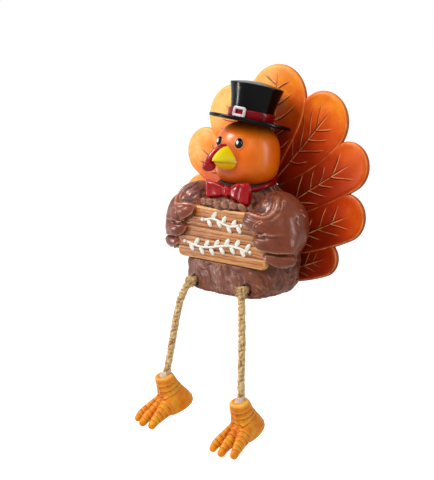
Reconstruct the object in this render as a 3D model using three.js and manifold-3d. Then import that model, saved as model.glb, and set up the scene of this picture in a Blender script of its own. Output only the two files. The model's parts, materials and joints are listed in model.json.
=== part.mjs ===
// A painted resin turkey that sits on a shelf edge: squarish body with two wings that grip a wooden board,
// round head with a top hat, bow tie, a fan of nine tail feathers and two feet hanging on jute ropes.
// Millimetres, +Z up. The turkey faces -Y and its own left side is +X. The origin is the centre of its seat.
import * as THREE from "three";
import { mergeVertices } from "three/addons/utils/BufferGeometryUtils.js";
import Module from "manifold-3d";

const wasm = await Module();
wasm.setup();

// Fits
const clearance = 0.3;
const overrun = 6;
const blockReach = 300;
const mergeDistance = 0.001;

// Torso
const bodyHalfWidth = 27.5;
const bodyFront = 19.3;
const bodyBack = 17.5;
const bodyHeight = 51.8;
const neckRadius = 12.9;
const neckPlace = 0.5;

// Tail fan, whose plates stand in one leaning plane, each pair a step behind the pair above it.
// The plates' roots and the cover behind them lie at shares of the body's height.
const centerRootShare = 0.888;
const firstRootShare = 0.917;
const secondRootShare = 0.6178;
const thirdRootShare = 0.2992;
const fourthRootShare = 0.0695;
const coverMiddleShare = 0.49;
const coverHalfHeightShare = 0.45;
const fanPlace = 9.8;
const fanLean = 7.1;
const plateThickness = 3.2;
const plateStep = 0.6;
const plateEdge = 0.9;
const centerLength = 60.7;
const centerHalfWidth = 18;
const centerRootHalfWidth = 3;
const firstAngle = 40.3;
const firstLength = 58.2;
const firstHalfWidth = 15.2;
const secondAngle = 56.7;
const secondLength = 65.2;
const secondHalfWidth = 11.9;
const thirdAngle = 63.8;
const thirdLength = 61.8;
const thirdHalfWidth = 11.4;
const fourthAngle = 68.5;
const fourthLength = 45.6;
const fourthHalfWidth = 8.7;
const pairRootHalfWidth = 4.5;
const pairRootReach = 5;
const coverHalfWidth = 21;
const coverBulge = 17.06;

// Wings and their finger feathers
const wingInset = 2.5;
const wingPlace = 6;
const wingDrop = 19.3;
const wingHalfWidth = 15;
const wingHalfDepth = 14;
const wingHalfHeight = 18;
const fingerHalfWidth = 6.2;
const fingerHalfThickness = 4;
const fingerStandout = 1.2;

// Board
const boardHeight = 25.6;
const boardThickness = 3;
const boardCorner = 3;
const boardEdge = 0.4;
const boardDrop = 11.3;
const boardFront = 18.5;

// Head and face
const headRadius = 15.6;
const headUpperHeight = 15.5;
const headLowerHeight = 15.4;
const headSeat = 13.2;
const eyeAcross = 6;
const eyeUp = 6.2;
const eyeHalfWidth = 2.2;
const eyeHalfHeight = 2.5;
const eyeHalfDepth = 1.9;
const eyeInset = 0.7;
const upperBeakReach = 8.4;
const upperBeakHalfWidth = 6.8;
const upperBeakHalfThickness = 3.7;
const upperBeakUp = 1.2;
const lowerBeakReach = 6.6;
const lowerBeakHalfWidth = 5.3;
const lowerBeakHalfThickness = 2.7;
const lowerBeakDown = 3.1;
const beakRoot = 4;
const beakTipHalfWidth = 1.1;
const beakTipHalfThickness = 0.8;
const beakTipDrop = 1.3;
const snoodHalfWidth = 1.4;
const snoodHalfThickness = 1.2;
const snoodBulbHalfWidth = 2.5;
const snoodBulbHalfThickness = 2;
const snoodRise = 4.9;
const snoodAcross = 5.2;
const snoodDrop = 7;

// Neck band and bow tie
const bandThickness = 1.6;
const bandHeight = 2.2;
const bandDrop = 0.5;
const bandTilt = 12.3;
const knotHalfWidth = 2.1;
const knotHalfHeight = 2.9;
const knotHalfDepth = 2;
const loopLength = 12.6;
const loopInnerHalfHeight = 2;
const loopOuterHalfHeight = 4.7;
const loopThickness = 3;
const loopEdge = 0.7;
const bowDrop = 3.2;
const bowStandout = 0.4;
const loopSetBack = 0.9;

// Hat, tilted back and a little to the turkey's left
const hatAcross = 0.9;
const hatBack = 0.9;
const hatSeat = 15;
const hatTiltBack = 12.2;
const hatTiltLeft = 4.4;
const brimRadius = 19.7;
const brimThickness = 1.8;
const brimEdge = 0.6;
const crownBottomRadius = 10;
const crownTopRadius = 12.6;
const crownHeight = 16;
const crownEdge = 0.8;
const crownDome = 1.9;
const hatBandHeight = 4;
const hatBandThickness = 0.9;
const buckleWidth = 7;
const buckleHeight = 5;
const buckleBar = 1.5;
const buckleThickness = 0.9;
const buckleTurn = 10;

// Legs: a rope from a bore in the body to the top of each foot
const legSpacing = 32.6;
const ropePlace = 21.9;
const hipHeight = 4.2;
const legLength = 51.75;
const ropeDiameter = 3.5;
const rightLegSplay = 18.5;
const knotRadius = 2.6;
const beadRadius = 2.5;
const boreRadius = 2.7;
const boreDepth = 9;

// Feet, modelled standing on their soles and then pitched forward as they hang
const leftToeOut = 2;
const rightToeOut = 9;
const footPitch = 14;
const ankleForward = 1.6;
const ankleRadius = 4.8;
const ankleEdge = 0.8;
const footHeight = 20.6;
const footHalfWidth = 6;
const footSquareness = 2.2;
const heelReach = 12.8;
const toeReach = 19.4;
const toeSpread = 6.4;
const toeRootRadius = 4;
const toeTipRadius = 2.3;

const radians = THREE.MathUtils.degToRad;

// A closed geometry, moved by a matrix, as a solid for joining and cutting
function solid(geometry, matrix = new THREE.Matrix4()) {
  const plain = geometry.index ? geometry.toNonIndexed() : geometry.clone();
  const bare = new THREE.BufferGeometry();
  bare.setAttribute("position", plain.getAttribute("position"));
  bare.applyMatrix4(matrix);
  const merged = mergeVertices(bare, mergeDistance);
  const vertProperties = merged.attributes.position.array;
  const triVerts = new Uint32Array(merged.index.array);
  return new wasm.Manifold(new wasm.Mesh({ numProp: 3, vertProperties, triVerts }));
}

// The largest body of a cut solid, without the loose crumbs that a cut can leave
function largest(made) {
  return made.decompose().reduce((best, next) => (next.volume() > best.volume() ? next : best));
}

// A named mesh from a solid
function piece(name, made, finish) {
  const cut = largest(made).getMesh();
  const geometry = new THREE.BufferGeometry();
  geometry.setAttribute("position", new THREE.BufferAttribute(cut.vertProperties, 3));
  geometry.setIndex(new THREE.BufferAttribute(cut.triVerts, 1));
  const mesh = new THREE.Mesh(geometry.toNonIndexed(), finish);
  mesh.geometry.computeVertexNormals();
  mesh.name = name;
  return mesh;
}

// What takes a shape from one frame to another
function fromFrame(source, target) {
  return target.clone().invert().multiply(source);
}

// A closed skin through rings of equally many points, with a fan of faces over each end
function skin(rings) {
  const sides = rings[0].length;
  const points = rings.flat();
  const faces = [];
  for (let level = 0; level + 1 < rings.length; level += 1) {
    for (let side = 0; side < sides; side += 1) {
      const here = level * sides + side;
      const next = level * sides + ((side + 1) % sides);
      faces.push(here, next, next + sides);
      faces.push(here, next + sides, here + sides);
    }
  }
  const ends = [rings[0], rings[rings.length - 1]];
  for (const [end, ring] of ends.entries()) {
    const middle = new THREE.Vector3();
    ring.forEach((point) => middle.addScaledVector(point, 1 / sides));
    points.push(middle);
    const first = end ? (rings.length - 1) * sides : 0;
    for (let side = 0; side < sides; side += 1) {
      const here = first + side;
      const next = first + ((side + 1) % sides);
      faces.push(points.length - 1, end ? here : next, end ? next : here);
    }
  }
  const geometry = new THREE.BufferGeometry().setFromPoints(points);
  geometry.setIndex(faces);
  return geometry;
}

// A number between the entries of a list, at a share of the way along it
function along(list, share) {
  const place = share * (list.length - 1);
  const index = Math.min(Math.floor(place), list.length - 2);
  return THREE.MathUtils.lerp(list[index], list[index + 1], place - index);
}

// A tapering limb with round ends. Its rings cross a smooth spine and lie along the direction across.
function limb({ spine, widths, heights, across, grow = 0, steps = 6, sides = 12 }) {
  const curve = new THREE.CatmullRomCurve3(spine);
  const rings = [];
  const tipSteps = 3;
  const tipTurn = 82;
  const addRing = (share, shift, shrink) => {
    const middle = curve.getPointAt(share);
    const forward = curve.getTangentAt(share);
    const up = new THREE.Vector3().crossVectors(forward, across).normalize();
    const side = new THREE.Vector3().crossVectors(up, forward).normalize();
    const halfWidth = (along(widths, share) + grow) * shrink;
    const halfHeight = (along(heights, share) + grow) * shrink;
    middle.addScaledVector(forward, shift);
    const ring = Array.from({ length: sides }, (_, n) => {
      const angle = (2 * Math.PI * n) / sides;
      const point = middle.clone().addScaledVector(side, halfWidth * Math.cos(angle));
      return point.addScaledVector(up, halfHeight * Math.sin(angle));
    });
    rings.push(ring);
  };
  for (let step = 0; step <= steps; step += 1) {
    addRing(step / steps, 0, 1);
  }
  const round = along(heights, 1) + grow;
  for (let step = 1; step <= tipSteps; step += 1) {
    const angle = radians((tipTurn * step) / tipSteps);
    addRing(1, round * Math.sin(angle), Math.cos(angle));
  }
  return skin(rings);
}

// An ellipsoid of three half sizes
function ellipsoid(halfX, halfY, halfZ, grow = 0, segments = 24, rings = 16) {
  const ball = new THREE.SphereGeometry(1, segments, rings);
  ball.rotateX(Math.PI / 2);
  return ball.scale(halfX + grow, halfY + grow, halfZ + grow);
}

// A lathe turned about +Z from pairs of radius and height
function turned(profile, segments = 32) {
  const points = profile.map(([radius, height]) => new THREE.Vector2(radius, height));
  return new THREE.LatheGeometry(points, segments).rotateX(Math.PI / 2);
}

// Materials
const finish = (color, roughness) => new THREE.MeshStandardMaterial({ color, roughness, metalness: 0 });
const brownResin = finish(0x6f4534, 0.55);
const wingResin = finish(0x74493a, 0.55);
const boardResin = finish(0xc07a2c, 0.6);
const redGloss = finish(0xb8121f, 0.25);
const orangeResin = finish(0xe0701c, 0.45);
const headResin = finish(0xd9641a, 0.4);
const eyeGloss = finish(0x0a0a0c, 0.1);
const beakResin = finish(0xe8c318, 0.35);
const hatGloss = finish(0x151517, 0.3);
const silverPaint = finish(0xdcd2d8, 0.35);
const jute = finish(0xbd9668, 0.95);
const footResin = finish(0xe8a12c, 0.5);

// Frames of the groups that are turned as a whole
const headHeight = bodyHeight + headSeat;
const fanFrame = new THREE.Matrix4()
  .makeTranslation(0, fanPlace, 0)
  .multiply(new THREE.Matrix4().makeRotationX(radians(90 - fanLean)));
const hatFrame = new THREE.Matrix4()
  .makeTranslation(hatAcross, neckPlace + hatBack, headHeight + hatSeat)
  .multiply(new THREE.Matrix4().makeRotationX(-radians(hatTiltBack)))
  .multiply(new THREE.Matrix4().makeRotationY(radians(hatTiltLeft)));
const bandFrame = new THREE.Matrix4()
  .makeTranslation(0, neckPlace, bodyHeight - bandDrop)
  .multiply(new THREE.Matrix4().makeRotationX(radians(bandTilt)));
const headFrame = new THREE.Matrix4().makeTranslation(0, neckPlace, headHeight);
const partFrame = new THREE.Matrix4();

// A block that covers everything on one side of a frame's XY plane
function halfSpace(height, above) {
  const block = new THREE.BoxGeometry(blockReach, blockReach, blockReach);
  return block.translate(0, 0, height + (above ? blockReach / 2 : -blockReach / 2));
}

// Torso

// A ring of the torso: a squarish oval between its front and its back
function ovalRing(height, halfWidth, front, back, squareness, sides = 28) {
  const middle = (back - front) / 2;
  const halfDepth = (back + front) / 2;
  return Array.from({ length: sides }, (_, n) => {
    const angle = (2 * Math.PI * n) / sides;
    const bend = (value) => Math.sign(value) * Math.abs(value) ** (2 / squareness);
    const x = halfWidth * bend(Math.cos(angle));
    return new THREE.Vector3(x, middle + halfDepth * bend(Math.sin(angle)), height);
  });
}

// Height, width, front and back of each section as shares of the body's sizes, and how square it is
const bodySectionShares = [
  [0, 0.78, 0.965, 0.6, 4.4],
  [0.022, 0.86, 0.995, 0.67, 4.4],
  [0.09, 0.955, 1, 0.78, 4.4],
  [0.23, 1, 0.955, 0.88, 4],
  [0.46, 1, 0.935, 0.96, 2.8],
  [0.68, 0.95, 0.95, 1, 2.6],
  [0.8, 0.82, 0.99, 1, 2.4],
];
// The same for the neck, as shares of the body's height and the neck's radius
const neckSectionShares = [
  [0.875, 1.45, 1.16, 1.32, 2.2],
  [0.935, 1.2, 1.03, 1.14, 2],
  [1, 1, 1, 1, 2],
];

function torsoForm(grow = 0) {
  const lift = (height) => (height > 0 ? height + (grow * height) / bodyHeight : height - grow);
  const lower = bodySectionShares.map(([height, width, front, back, squareness]) => {
    const sizes = [bodyHalfWidth * width + grow, bodyFront * front + grow, bodyBack * back + grow];
    return ovalRing(lift(bodyHeight * height), ...sizes, squareness);
  });
  const upper = neckSectionShares.map(([height, width, front, back, squareness]) => {
    const halfWidth = neckRadius * width + grow;
    const ends = [neckRadius * front + grow - neckPlace, neckRadius * back + grow + neckPlace];
    return ovalRing(lift(bodyHeight * height), halfWidth, ...ends, squareness);
  });
  return skin([...lower, ...upper]);
}

// Board, as wide as the body, hung a drop below the top of the neck

const boardWidth = 2 * bodyHalfWidth;
const boardBottom = bodyHeight - boardDrop - boardHeight;

function boardForm(grow = 0) {
  const halfWidth = boardWidth / 2 + grow;
  const halfHeight = boardHeight / 2 + grow;
  const corner = boardCorner + grow;
  const outline = new THREE.Shape();
  outline.moveTo(-halfWidth + corner, -halfHeight);
  outline.absarc(halfWidth - corner, -halfHeight + corner, corner, -Math.PI / 2, 0);
  outline.absarc(halfWidth - corner, halfHeight - corner, corner, 0, Math.PI / 2);
  outline.absarc(-halfWidth + corner, halfHeight - corner, corner, Math.PI / 2, Math.PI);
  outline.absarc(-halfWidth + corner, -halfHeight + corner, corner, Math.PI, 1.5 * Math.PI);
  const board = new THREE.ExtrudeGeometry(outline, {
    depth: boardThickness + 2 * grow - 2 * boardEdge,
    bevelThickness: boardEdge,
    bevelSize: boardEdge,
    bevelOffset: -boardEdge,
    bevelSegments: 1,
    curveSegments: 5,
  });
  board.translate(0, 0, -boardThickness / 2 - grow + boardEdge);
  board.rotateX(Math.PI / 2);
  return board.translate(0, boardThickness / 2 - boardFront, boardBottom + boardHeight / 2);
}

// Head

// Superellipse profile: rounder above the middle, fuller below it
const headRoundness = 2.2;
const headFullness = 3;

function headForm(grow = 0) {
  const steps = 7;
  const profile = [];
  for (let step = -steps; step <= steps; step += 1) {
    const angle = (Math.PI / 2) * (step / steps);
    const power = 2 / (step < 0 ? headFullness : headRoundness);
    const halfHeight = step < 0 ? headLowerHeight : headUpperHeight;
    const out = step === -steps || step === steps ? 0 : Math.cos(angle) ** power;
    const up = Math.sign(step) * Math.abs(Math.sin(angle)) ** power;
    profile.push([(headRadius + grow) * out, (halfHeight + grow) * up]);
  }
  return turned(profile, 28);
}

// How far the head reaches forward of its axis at a height above its middle and a distance across
function headFrontAt(up, across) {
  const halfHeight = up < 0 ? headLowerHeight : headUpperHeight;
  const power = up < 0 ? headFullness : headRoundness;
  const radius = headRadius * (1 - Math.abs(up / halfHeight) ** power) ** (1 / power);
  return Math.sqrt(radius * radius - across * across);
}

const eyeReach = headFrontAt(eyeUp, eyeAcross);

function eyeFrame(side) {
  return new THREE.Matrix4()
    .makeRotationZ(side * Math.atan2(eyeAcross, eyeReach))
    .setPosition(side * eyeAcross, eyeInset - eyeReach, eyeUp);
}

function eyeForm(grow = 0) {
  return ellipsoid(eyeHalfWidth, eyeHalfDepth, eyeHalfHeight, grow, 12, 8);
}

const sideways = new THREE.Vector3(1, 0, 0);

// How far along its reach and its drop the middle of a beak half lies, and its size there, as shares
const beakMiddleShares = { run: 0.45, drop: 0.3, width: 0.72, height: 0.8 };

function beakForm(up, reach, halfWidth, halfThickness, drop, grow = 0) {
  const front = headFrontAt(up, 0);
  const tip = front + reach - beakTipHalfThickness;
  return limb({
    spine: [
      new THREE.Vector3(0, beakRoot - front, up),
      new THREE.Vector3(0, -THREE.MathUtils.lerp(front, tip, beakMiddleShares.run), up - drop * beakMiddleShares.drop),
      new THREE.Vector3(0, -tip, up - drop),
    ],
    widths: [halfWidth, halfWidth * beakMiddleShares.width, beakTipHalfWidth],
    heights: [halfThickness, halfThickness * beakMiddleShares.height, beakTipHalfThickness],
    across: sideways,
    grow,
    steps: 4,
  });
}

const upperBeakForm = (grow = 0) =>
  beakForm(upperBeakUp, upperBeakReach, upperBeakHalfWidth, upperBeakHalfThickness, beakTipDrop, grow);
const lowerBeakForm = (grow = 0) =>
  beakForm(-lowerBeakDown, lowerBeakReach, lowerBeakHalfWidth, lowerBeakHalfThickness, -beakTipDrop / 2, grow);

// Where the snood passes, as shares of its reach across and of the beak's reach forward
const snoodRouteShares = [
  { across: 0, forward: 0 },
  { across: 0.42, forward: 0.25 },
  { across: 0.86, forward: 0.46 },
  { across: 1, forward: 0.6 },
];
const snoodTurn = 30;

// The snood runs from above the beak over its right shoulder and ends in a drop beside it
function snoodForm() {
  const front = headFrontAt(upperBeakUp, 0);
  const heights = [snoodRise, upperBeakUp + upperBeakHalfThickness, upperBeakUp, snoodBulbHalfWidth - snoodDrop];
  const spine = snoodRouteShares.map(({ across, forward }, n) => {
    const start = n === 0 ? headFrontAt(snoodRise, 0) : front;
    return new THREE.Vector3(-snoodAcross * across, -(start + upperBeakReach * forward), heights[n]);
  });
  return limb({
    spine,
    widths: [snoodHalfWidth, snoodHalfWidth, snoodHalfWidth, snoodBulbHalfWidth],
    heights: [snoodHalfThickness, snoodHalfThickness, snoodHalfThickness, snoodBulbHalfThickness],
    across: new THREE.Vector3(Math.sin(radians(snoodTurn)), -Math.cos(radians(snoodTurn)), 0),
    steps: 8,
    sides: 8,
  });
}

// Tail fan

// Root height, angle from upright, length and half width of each plate, from the middle outwards
const plates = [
  { root: bodyHeight * centerRootShare, angle: 0, length: centerLength, halfWidth: centerHalfWidth },
  { root: bodyHeight * firstRootShare, angle: firstAngle, length: firstLength, halfWidth: firstHalfWidth },
  { root: bodyHeight * secondRootShare, angle: secondAngle, length: secondLength, halfWidth: secondHalfWidth },
  { root: bodyHeight * thirdRootShare, angle: thirdAngle, length: thirdLength, halfWidth: thirdHalfWidth },
  { root: bodyHeight * fourthRootShare, angle: fourthAngle, length: fourthLength, halfWidth: fourthHalfWidth },
];

// One side of a leaf outline, as pairs of run and out: it swells from its root and ends in a round tip
function leafSide(start, rootHalfWidth, straight, halfWidth, grow) {
  const sideSteps = 6;
  const tipSteps = 6;
  const points = [];
  for (let step = 0; step < sideSteps; step += 1) {
    const share = step / sideSteps;
    const swell = Math.sin((share * Math.PI) / 2);
    points.push([start + (straight - start) * share, rootHalfWidth + (halfWidth - rootHalfWidth) * swell + grow]);
  }
  for (let step = 0; step <= tipSteps; step += 1) {
    const turn = (Math.PI * step) / (2 * tipSteps);
    points.push([straight + (halfWidth + grow) * Math.sin(turn), (halfWidth + grow) * Math.cos(turn)]);
  }
  points[0][0] -= grow;
  return points;
}

// A leaf outline in the fan plane. The upper side of a pair's plate runs straight back under the plate above it.
function leafOutline({ root, angle, length, halfWidth }, side, grow = 0) {
  const center = angle === 0;
  const start = center ? 0 : pairRootReach;
  const straight = length - halfWidth;
  const lowerRoot = center ? centerRootHalfWidth : pairRootHalfWidth;
  const upperRoot = center ? centerRootHalfWidth : halfWidth;
  const lower = leafSide(start, lowerRoot, straight, halfWidth, grow);
  const upper = leafSide(start, upperRoot, straight, halfWidth, grow);
  const other = upper.slice(0, -1).reverse().map(([run, out]) => [run, -out]);
  const turn = radians(angle);
  const points = [...lower, ...other].map(([run, out]) => {
    const across = run * Math.sin(turn) + out * Math.cos(turn);
    return new THREE.Vector2(side * across, root + run * Math.cos(turn) - out * Math.sin(turn));
  });
  return new THREE.Shape(points.reverse());
}

// A feather plate with a rounded rim, its front face a number of steps behind the middle plate's
function plateForm(plate, side, level) {
  const form = new THREE.ExtrudeGeometry(leafOutline(plate, side), {
    depth: plateThickness - 2 * plateEdge,
    bevelThickness: plateEdge,
    bevelSize: plateEdge,
    bevelOffset: -plateEdge,
    bevelSegments: 1,
  });
  return form.translate(0, 0, plateEdge - plateThickness - level * plateStep);
}

// A prism over a plate's outline, from in front of the fan to a depth behind it
function plateCutter(plate, side, depth) {
  const options = { depth: depth + overrun, bevelEnabled: false };
  return new THREE.ExtrudeGeometry(leafOutline(plate, side, clearance), options).translate(0, 0, -depth);
}

const fanDepth = plateThickness + (plates.length - 1) * plateStep;

// What keeps a plate off the seat and off its mirror image
const belowSeat = solid(halfSpace(clearance, false), fromFrame(partFrame, fanFrame));

function besideMiddle(side) {
  const turn = new THREE.Matrix4().makeRotationY(side > 0 ? -Math.PI / 2 : Math.PI / 2);
  return solid(halfSpace(-clearance / 2, true), turn);
}

function feather(level, side) {
  let made = solid(plateForm(plates[level], side, level));
  for (let inner = 0; inner < level; inner += 1) {
    made = made.subtract(solid(plateCutter(plates[inner], side, fanDepth + overrun)));
  }
  if (level > 0) {
    made = made.subtract(besideMiddle(side));
  }
  return made.subtract(belowSeat);
}

// The rump behind the fan: a dome whose front is hollowed to seat every feather root
function tailCover() {
  const dome = ellipsoid(coverHalfWidth, bodyHeight * coverHalfHeightShare, coverBulge, 0, 24, 12);
  dome.translate(0, bodyHeight * coverMiddleShare, -plateThickness);
  let made = solid(dome).subtract(solid(halfSpace(-plateThickness - clearance, true)));
  for (const [level, plate] of plates.entries()) {
    const depth = plateThickness + level * plateStep + clearance;
    made = made.subtract(solid(plateCutter(plate, 1, depth)));
    made = made.subtract(solid(plateCutter(plate, -1, depth)));
  }
  return made.subtract(solid(halfSpace(0, false), fromFrame(partFrame, fanFrame)));
}

const fan = new THREE.Group();
fan.applyMatrix4(fanFrame);
fan.add(piece("tail_feather_center", feather(0, 1), orangeResin));
for (const [name, side] of [["left", 1], ["right", -1]]) {
  for (let level = 1; level < plates.length; level += 1) {
    fan.add(piece(`tail_feather_${name}_${level}`, feather(level, side), orangeResin));
  }
}
fan.add(piece("tail_cover", tailCover(), orangeResin));

// All that lies behind the fan's front face, in another group's frame
const fanFront = (frame) => solid(halfSpace(clearance, false), fromFrame(fanFrame, frame));

// Bow tie

const bowHeight = bodyHeight - bowDrop;
const bowFront = neckRadius + clearance + bandThickness - neckPlace + bowStandout;

function bowLoopForm(side, grow = 0) {
  const inner = knotHalfWidth + clearance - grow;
  const outer = knotHalfWidth + clearance + loopLength + grow;
  const innerHalfHeight = loopInnerHalfHeight + grow;
  const outerHalfHeight = loopOuterHalfHeight + grow;
  const thickness = loopThickness + 2 * grow;
  const outline = new THREE.Shape();
  outline.moveTo(inner, -innerHalfHeight);
  outline.lineTo(outer - loopEdge, -outerHalfHeight);
  outline.quadraticCurveTo(outer + loopEdge, 0, outer - loopEdge, outerHalfHeight);
  outline.lineTo(inner, innerHalfHeight);
  outline.closePath();
  const loop = new THREE.ExtrudeGeometry(outline, {
    depth: thickness - 2 * loopEdge,
    bevelThickness: loopEdge,
    bevelSize: loopEdge,
    bevelOffset: -loopEdge,
    bevelSegments: 1,
    curveSegments: 4,
  });
  loop.translate(0, 0, loopEdge - thickness / 2);
  loop.rotateX(Math.PI / 2);
  loop.rotateZ(side < 0 ? Math.PI : 0);
  return loop.translate(0, loopSetBack - bowFront, bowHeight);
}

const knotForm = (grow = 0) =>
  ellipsoid(knotHalfWidth, knotHalfDepth, knotHalfHeight, grow, 12, 8).translate(0, -bowFront, bowHeight);

// Wings

const wingHeight = bodyHeight - wingDrop;

// Each finger: how far across and up the board its tip lies, the rise of its root, and its size
const fingerShares = [
  { tipAcross: 0.72, tipUp: 0.86, rootUp: 0.22, size: 1.05 },
  { tipAcross: 0.94, tipUp: 0.5, rootUp: -0.22, size: 0.88 },
  { tipAcross: 0.98, tipUp: 0.2, rootUp: -0.52, size: 0.72 },
];
// Where a finger starts and bends across the wing and in depth, and its size at its bend and its tip
const fingerBendShares = { rootAcross: 0.45, across: 0.35, forward: 0.8, width: 1.05, tip: 0.8 };

function wing(side) {
  const middle = new THREE.Vector3(side * (bodyHalfWidth - wingInset), -wingPlace, wingHeight);
  const palm = ellipsoid(wingHalfWidth, wingHalfDepth, wingHalfHeight, 0, 24, 16);
  let made = solid(palm.translate(...middle));
  const bend = fingerBendShares;
  const front = boardFront + fingerStandout;
  for (const { tipAcross, tipUp, rootUp, size } of fingerShares) {
    const tipHeight = boardBottom + boardHeight * tipUp;
    const rootHeight = wingHeight + wingHalfHeight * rootUp;
    const bendHeight = (rootHeight + tipHeight) / 2;
    const halfWidth = fingerHalfWidth * size;
    const finger = limb({
      spine: [
        new THREE.Vector3(middle.x + side * wingHalfWidth * bend.rootAcross, -wingPlace, rootHeight),
        new THREE.Vector3(middle.x + side * wingHalfWidth * bend.across, -front * bend.forward, bendHeight),
        new THREE.Vector3((side * boardWidth * tipAcross) / 2, -front, tipHeight),
      ],
      widths: [halfWidth, halfWidth * bend.width, halfWidth * bend.tip],
      heights: [fingerHalfThickness, fingerHalfThickness, fingerHalfThickness * bend.tip],
      across: new THREE.Vector3(0, 0, side),
      steps: 5,
    });
    made = made.add(solid(finger));
  }
  return made
    .subtract(solid(torsoForm(clearance)))
    .subtract(solid(boardForm(clearance)))
    .subtract(solid(bowLoopForm(side, clearance)))
    .subtract(fanFront(partFrame));
}

// Hat

const brimTop = brimThickness / 2;
const crownBase = brimTop + clearance;

// The crown's radius at a share of its height: it flares upwards
const crownFlare = 1.7;
const crownRadiusAt = (share) => THREE.MathUtils.lerp(crownBottomRadius, crownTopRadius, share ** crownFlare);

function brim() {
  const rim = brimRadius - brimEdge;
  const made = turned(
    [
      [0, -brimTop],
      [rim, -brimTop],
      [brimRadius, -brimTop + brimEdge],
      [brimRadius, brimTop - brimEdge],
      [rim, brimTop],
      [0, brimTop],
    ],
    40,
  );
  return solid(made).subtract(fanFront(hatFrame));
}

function crown() {
  const steps = 5;
  const domeSteps = 3;
  const rim = crownTopRadius - crownEdge;
  const profile = [[0, crownBase]];
  for (let step = 0; step <= steps; step += 1) {
    const share = step / steps;
    profile.push([crownRadiusAt(share), crownBase + (crownHeight - crownEdge) * share]);
  }
  for (let step = 0; step <= domeSteps; step += 1) {
    const share = 1 - step / domeSteps;
    profile.push([rim * share, crownBase + crownHeight + crownDome * (1 - share * share)]);
  }
  return solid(turned(profile, 32));
}

const hatBandRadius = crownRadiusAt(hatBandHeight / crownHeight) + clearance + hatBandThickness;

function hatBand() {
  const top = crownBase + hatBandHeight;
  const inner = crownRadiusAt(hatBandHeight / crownHeight) + clearance;
  const profile = [
    [inner, crownBase],
    [hatBandRadius, crownBase],
    [hatBandRadius, top],
    [inner, top],
    [inner, crownBase],
  ];
  return solid(turned(profile, 32));
}

// A rectangle centred on the origin
function rectangle(width, height, path = new THREE.Shape()) {
  path.moveTo(-width / 2, -height / 2);
  path.lineTo(width / 2, -height / 2);
  path.lineTo(width / 2, height / 2);
  path.lineTo(-width / 2, height / 2);
  path.closePath();
  return path;
}

function buckle() {
  const outline = rectangle(buckleWidth, buckleHeight);
  outline.holes.push(rectangle(buckleWidth - 2 * buckleBar, buckleHeight - 2 * buckleBar, new THREE.Path()));
  const frame = new THREE.ExtrudeGeometry(outline, { depth: buckleThickness, bevelEnabled: false });
  frame.rotateX(Math.PI / 2);
  frame.translate(0, -hatBandRadius - clearance, crownBase + buckleHeight / 2);
  frame.rotateZ(radians(buckleTurn));
  return solid(frame);
}

const hat = new THREE.Group();
hat.applyMatrix4(hatFrame);
hat.add(piece("hat_brim", brim(), hatGloss));
hat.add(piece("hat_crown", crown(), hatGloss));
hat.add(piece("hat_band", hatBand(), redGloss));
hat.add(piece("hat_buckle", buckle(), silverPaint));

// Head with its face, in the head's frame

const underBrim = solid(halfSpace(-brimTop - clearance, true), fromFrame(hatFrame, headFrame));
const face = new THREE.Group();
face.applyMatrix4(headFrame);
let headSolid = solid(headForm()).subtract(underBrim).subtract(fanFront(headFrame));
for (const [name, side] of [["left", 1], ["right", -1]]) {
  headSolid = headSolid.subtract(solid(eyeForm(clearance), eyeFrame(side)));
  face.add(piece(`${name}_eye`, solid(eyeForm(), eyeFrame(side)), eyeGloss));
}
face.add(piece("head", headSolid, headResin));
const headGap = solid(headForm(clearance));
const upperBeakGap = solid(upperBeakForm(clearance));
face.add(piece("beak_upper", solid(upperBeakForm()).subtract(headGap), beakResin));
face.add(piece("beak_lower", solid(lowerBeakForm()).subtract(headGap).subtract(upperBeakGap), beakResin));
const snood = solid(snoodForm())
  .subtract(headGap)
  .subtract(upperBeakGap)
  .subtract(solid(lowerBeakForm(clearance)));
face.add(piece("snood", snood, redGloss));

// Neck band

function bandForm(grow = 0) {
  const inner = neckRadius + clearance;
  const outer = inner + bandThickness + grow;
  const half = bandHeight / 2 + grow;
  return turned([[inner, -half], [outer, -half], [outer, half], [inner, half], [inner, -half]], 32);
}

const torsoGap = solid(torsoForm(clearance));
const headGapInPart = solid(headForm(clearance), headFrame);
const bandGap = solid(bandForm(clearance), bandFrame);
const knot = solid(knotForm()).subtract(torsoGap).subtract(bandGap).subtract(headGapInPart);
const band = solid(bandForm())
  .subtract(solid(torsoForm(clearance), fromFrame(partFrame, bandFrame)))
  .subtract(solid(headForm(clearance), fromFrame(headFrame, bandFrame)))
  .subtract(fanFront(bandFrame));

function bowLoopSolid(side) {
  return solid(bowLoopForm(side))
    .subtract(torsoGap)
    .subtract(bandGap)
    .subtract(headGapInPart)
    .subtract(solid(knotForm(clearance)));
}

// Legs

// The rope's route from its bulge at the body to its end in the foot, as seen in the leg's own frame
const ropeTop = knotRadius + clearance;
const ropeBottom = legLength - beadRadius - clearance;
const ropeShares = [
  [0, 0],
  [0.2, 0],
  [0.4, 0],
  [0.6, 0],
  [0.8, 0],
  [1, 0],
];

function ropeTube() {
  const points = ropeShares.map(([down, out]) => {
    return new THREE.Vector3(out * ropeDiameter, 0, -THREE.MathUtils.lerp(ropeTop, ropeBottom, down));
  });
  const section = new THREE.Shape();
  section.absarc(0, 0, ropeDiameter / 2, 0, 2 * Math.PI);
  return new THREE.ExtrudeGeometry(section, {
    extrudePath: new THREE.CatmullRomCurve3(points),
    steps: 6,
    curveSegments: 4,
    bevelEnabled: false,
  });
}

// Depth under the ankle's top as a share of the foot's height, half width between the ankle's and the foot's,
// and how far the back reaches between the ankle and the heel
const footSectionShares = [
  [0.05, 0, 0],
  [0.22, 0.1, 0.2],
  [0.4, 0.3, 0.42],
  [0.58, 0.7, 0.68],
  [0.74, 1, 0.92],
  [0.86, 1, 1],
  [0.96, 0.6, 0.84],
  [1, 0, 0.55],
];

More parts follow.
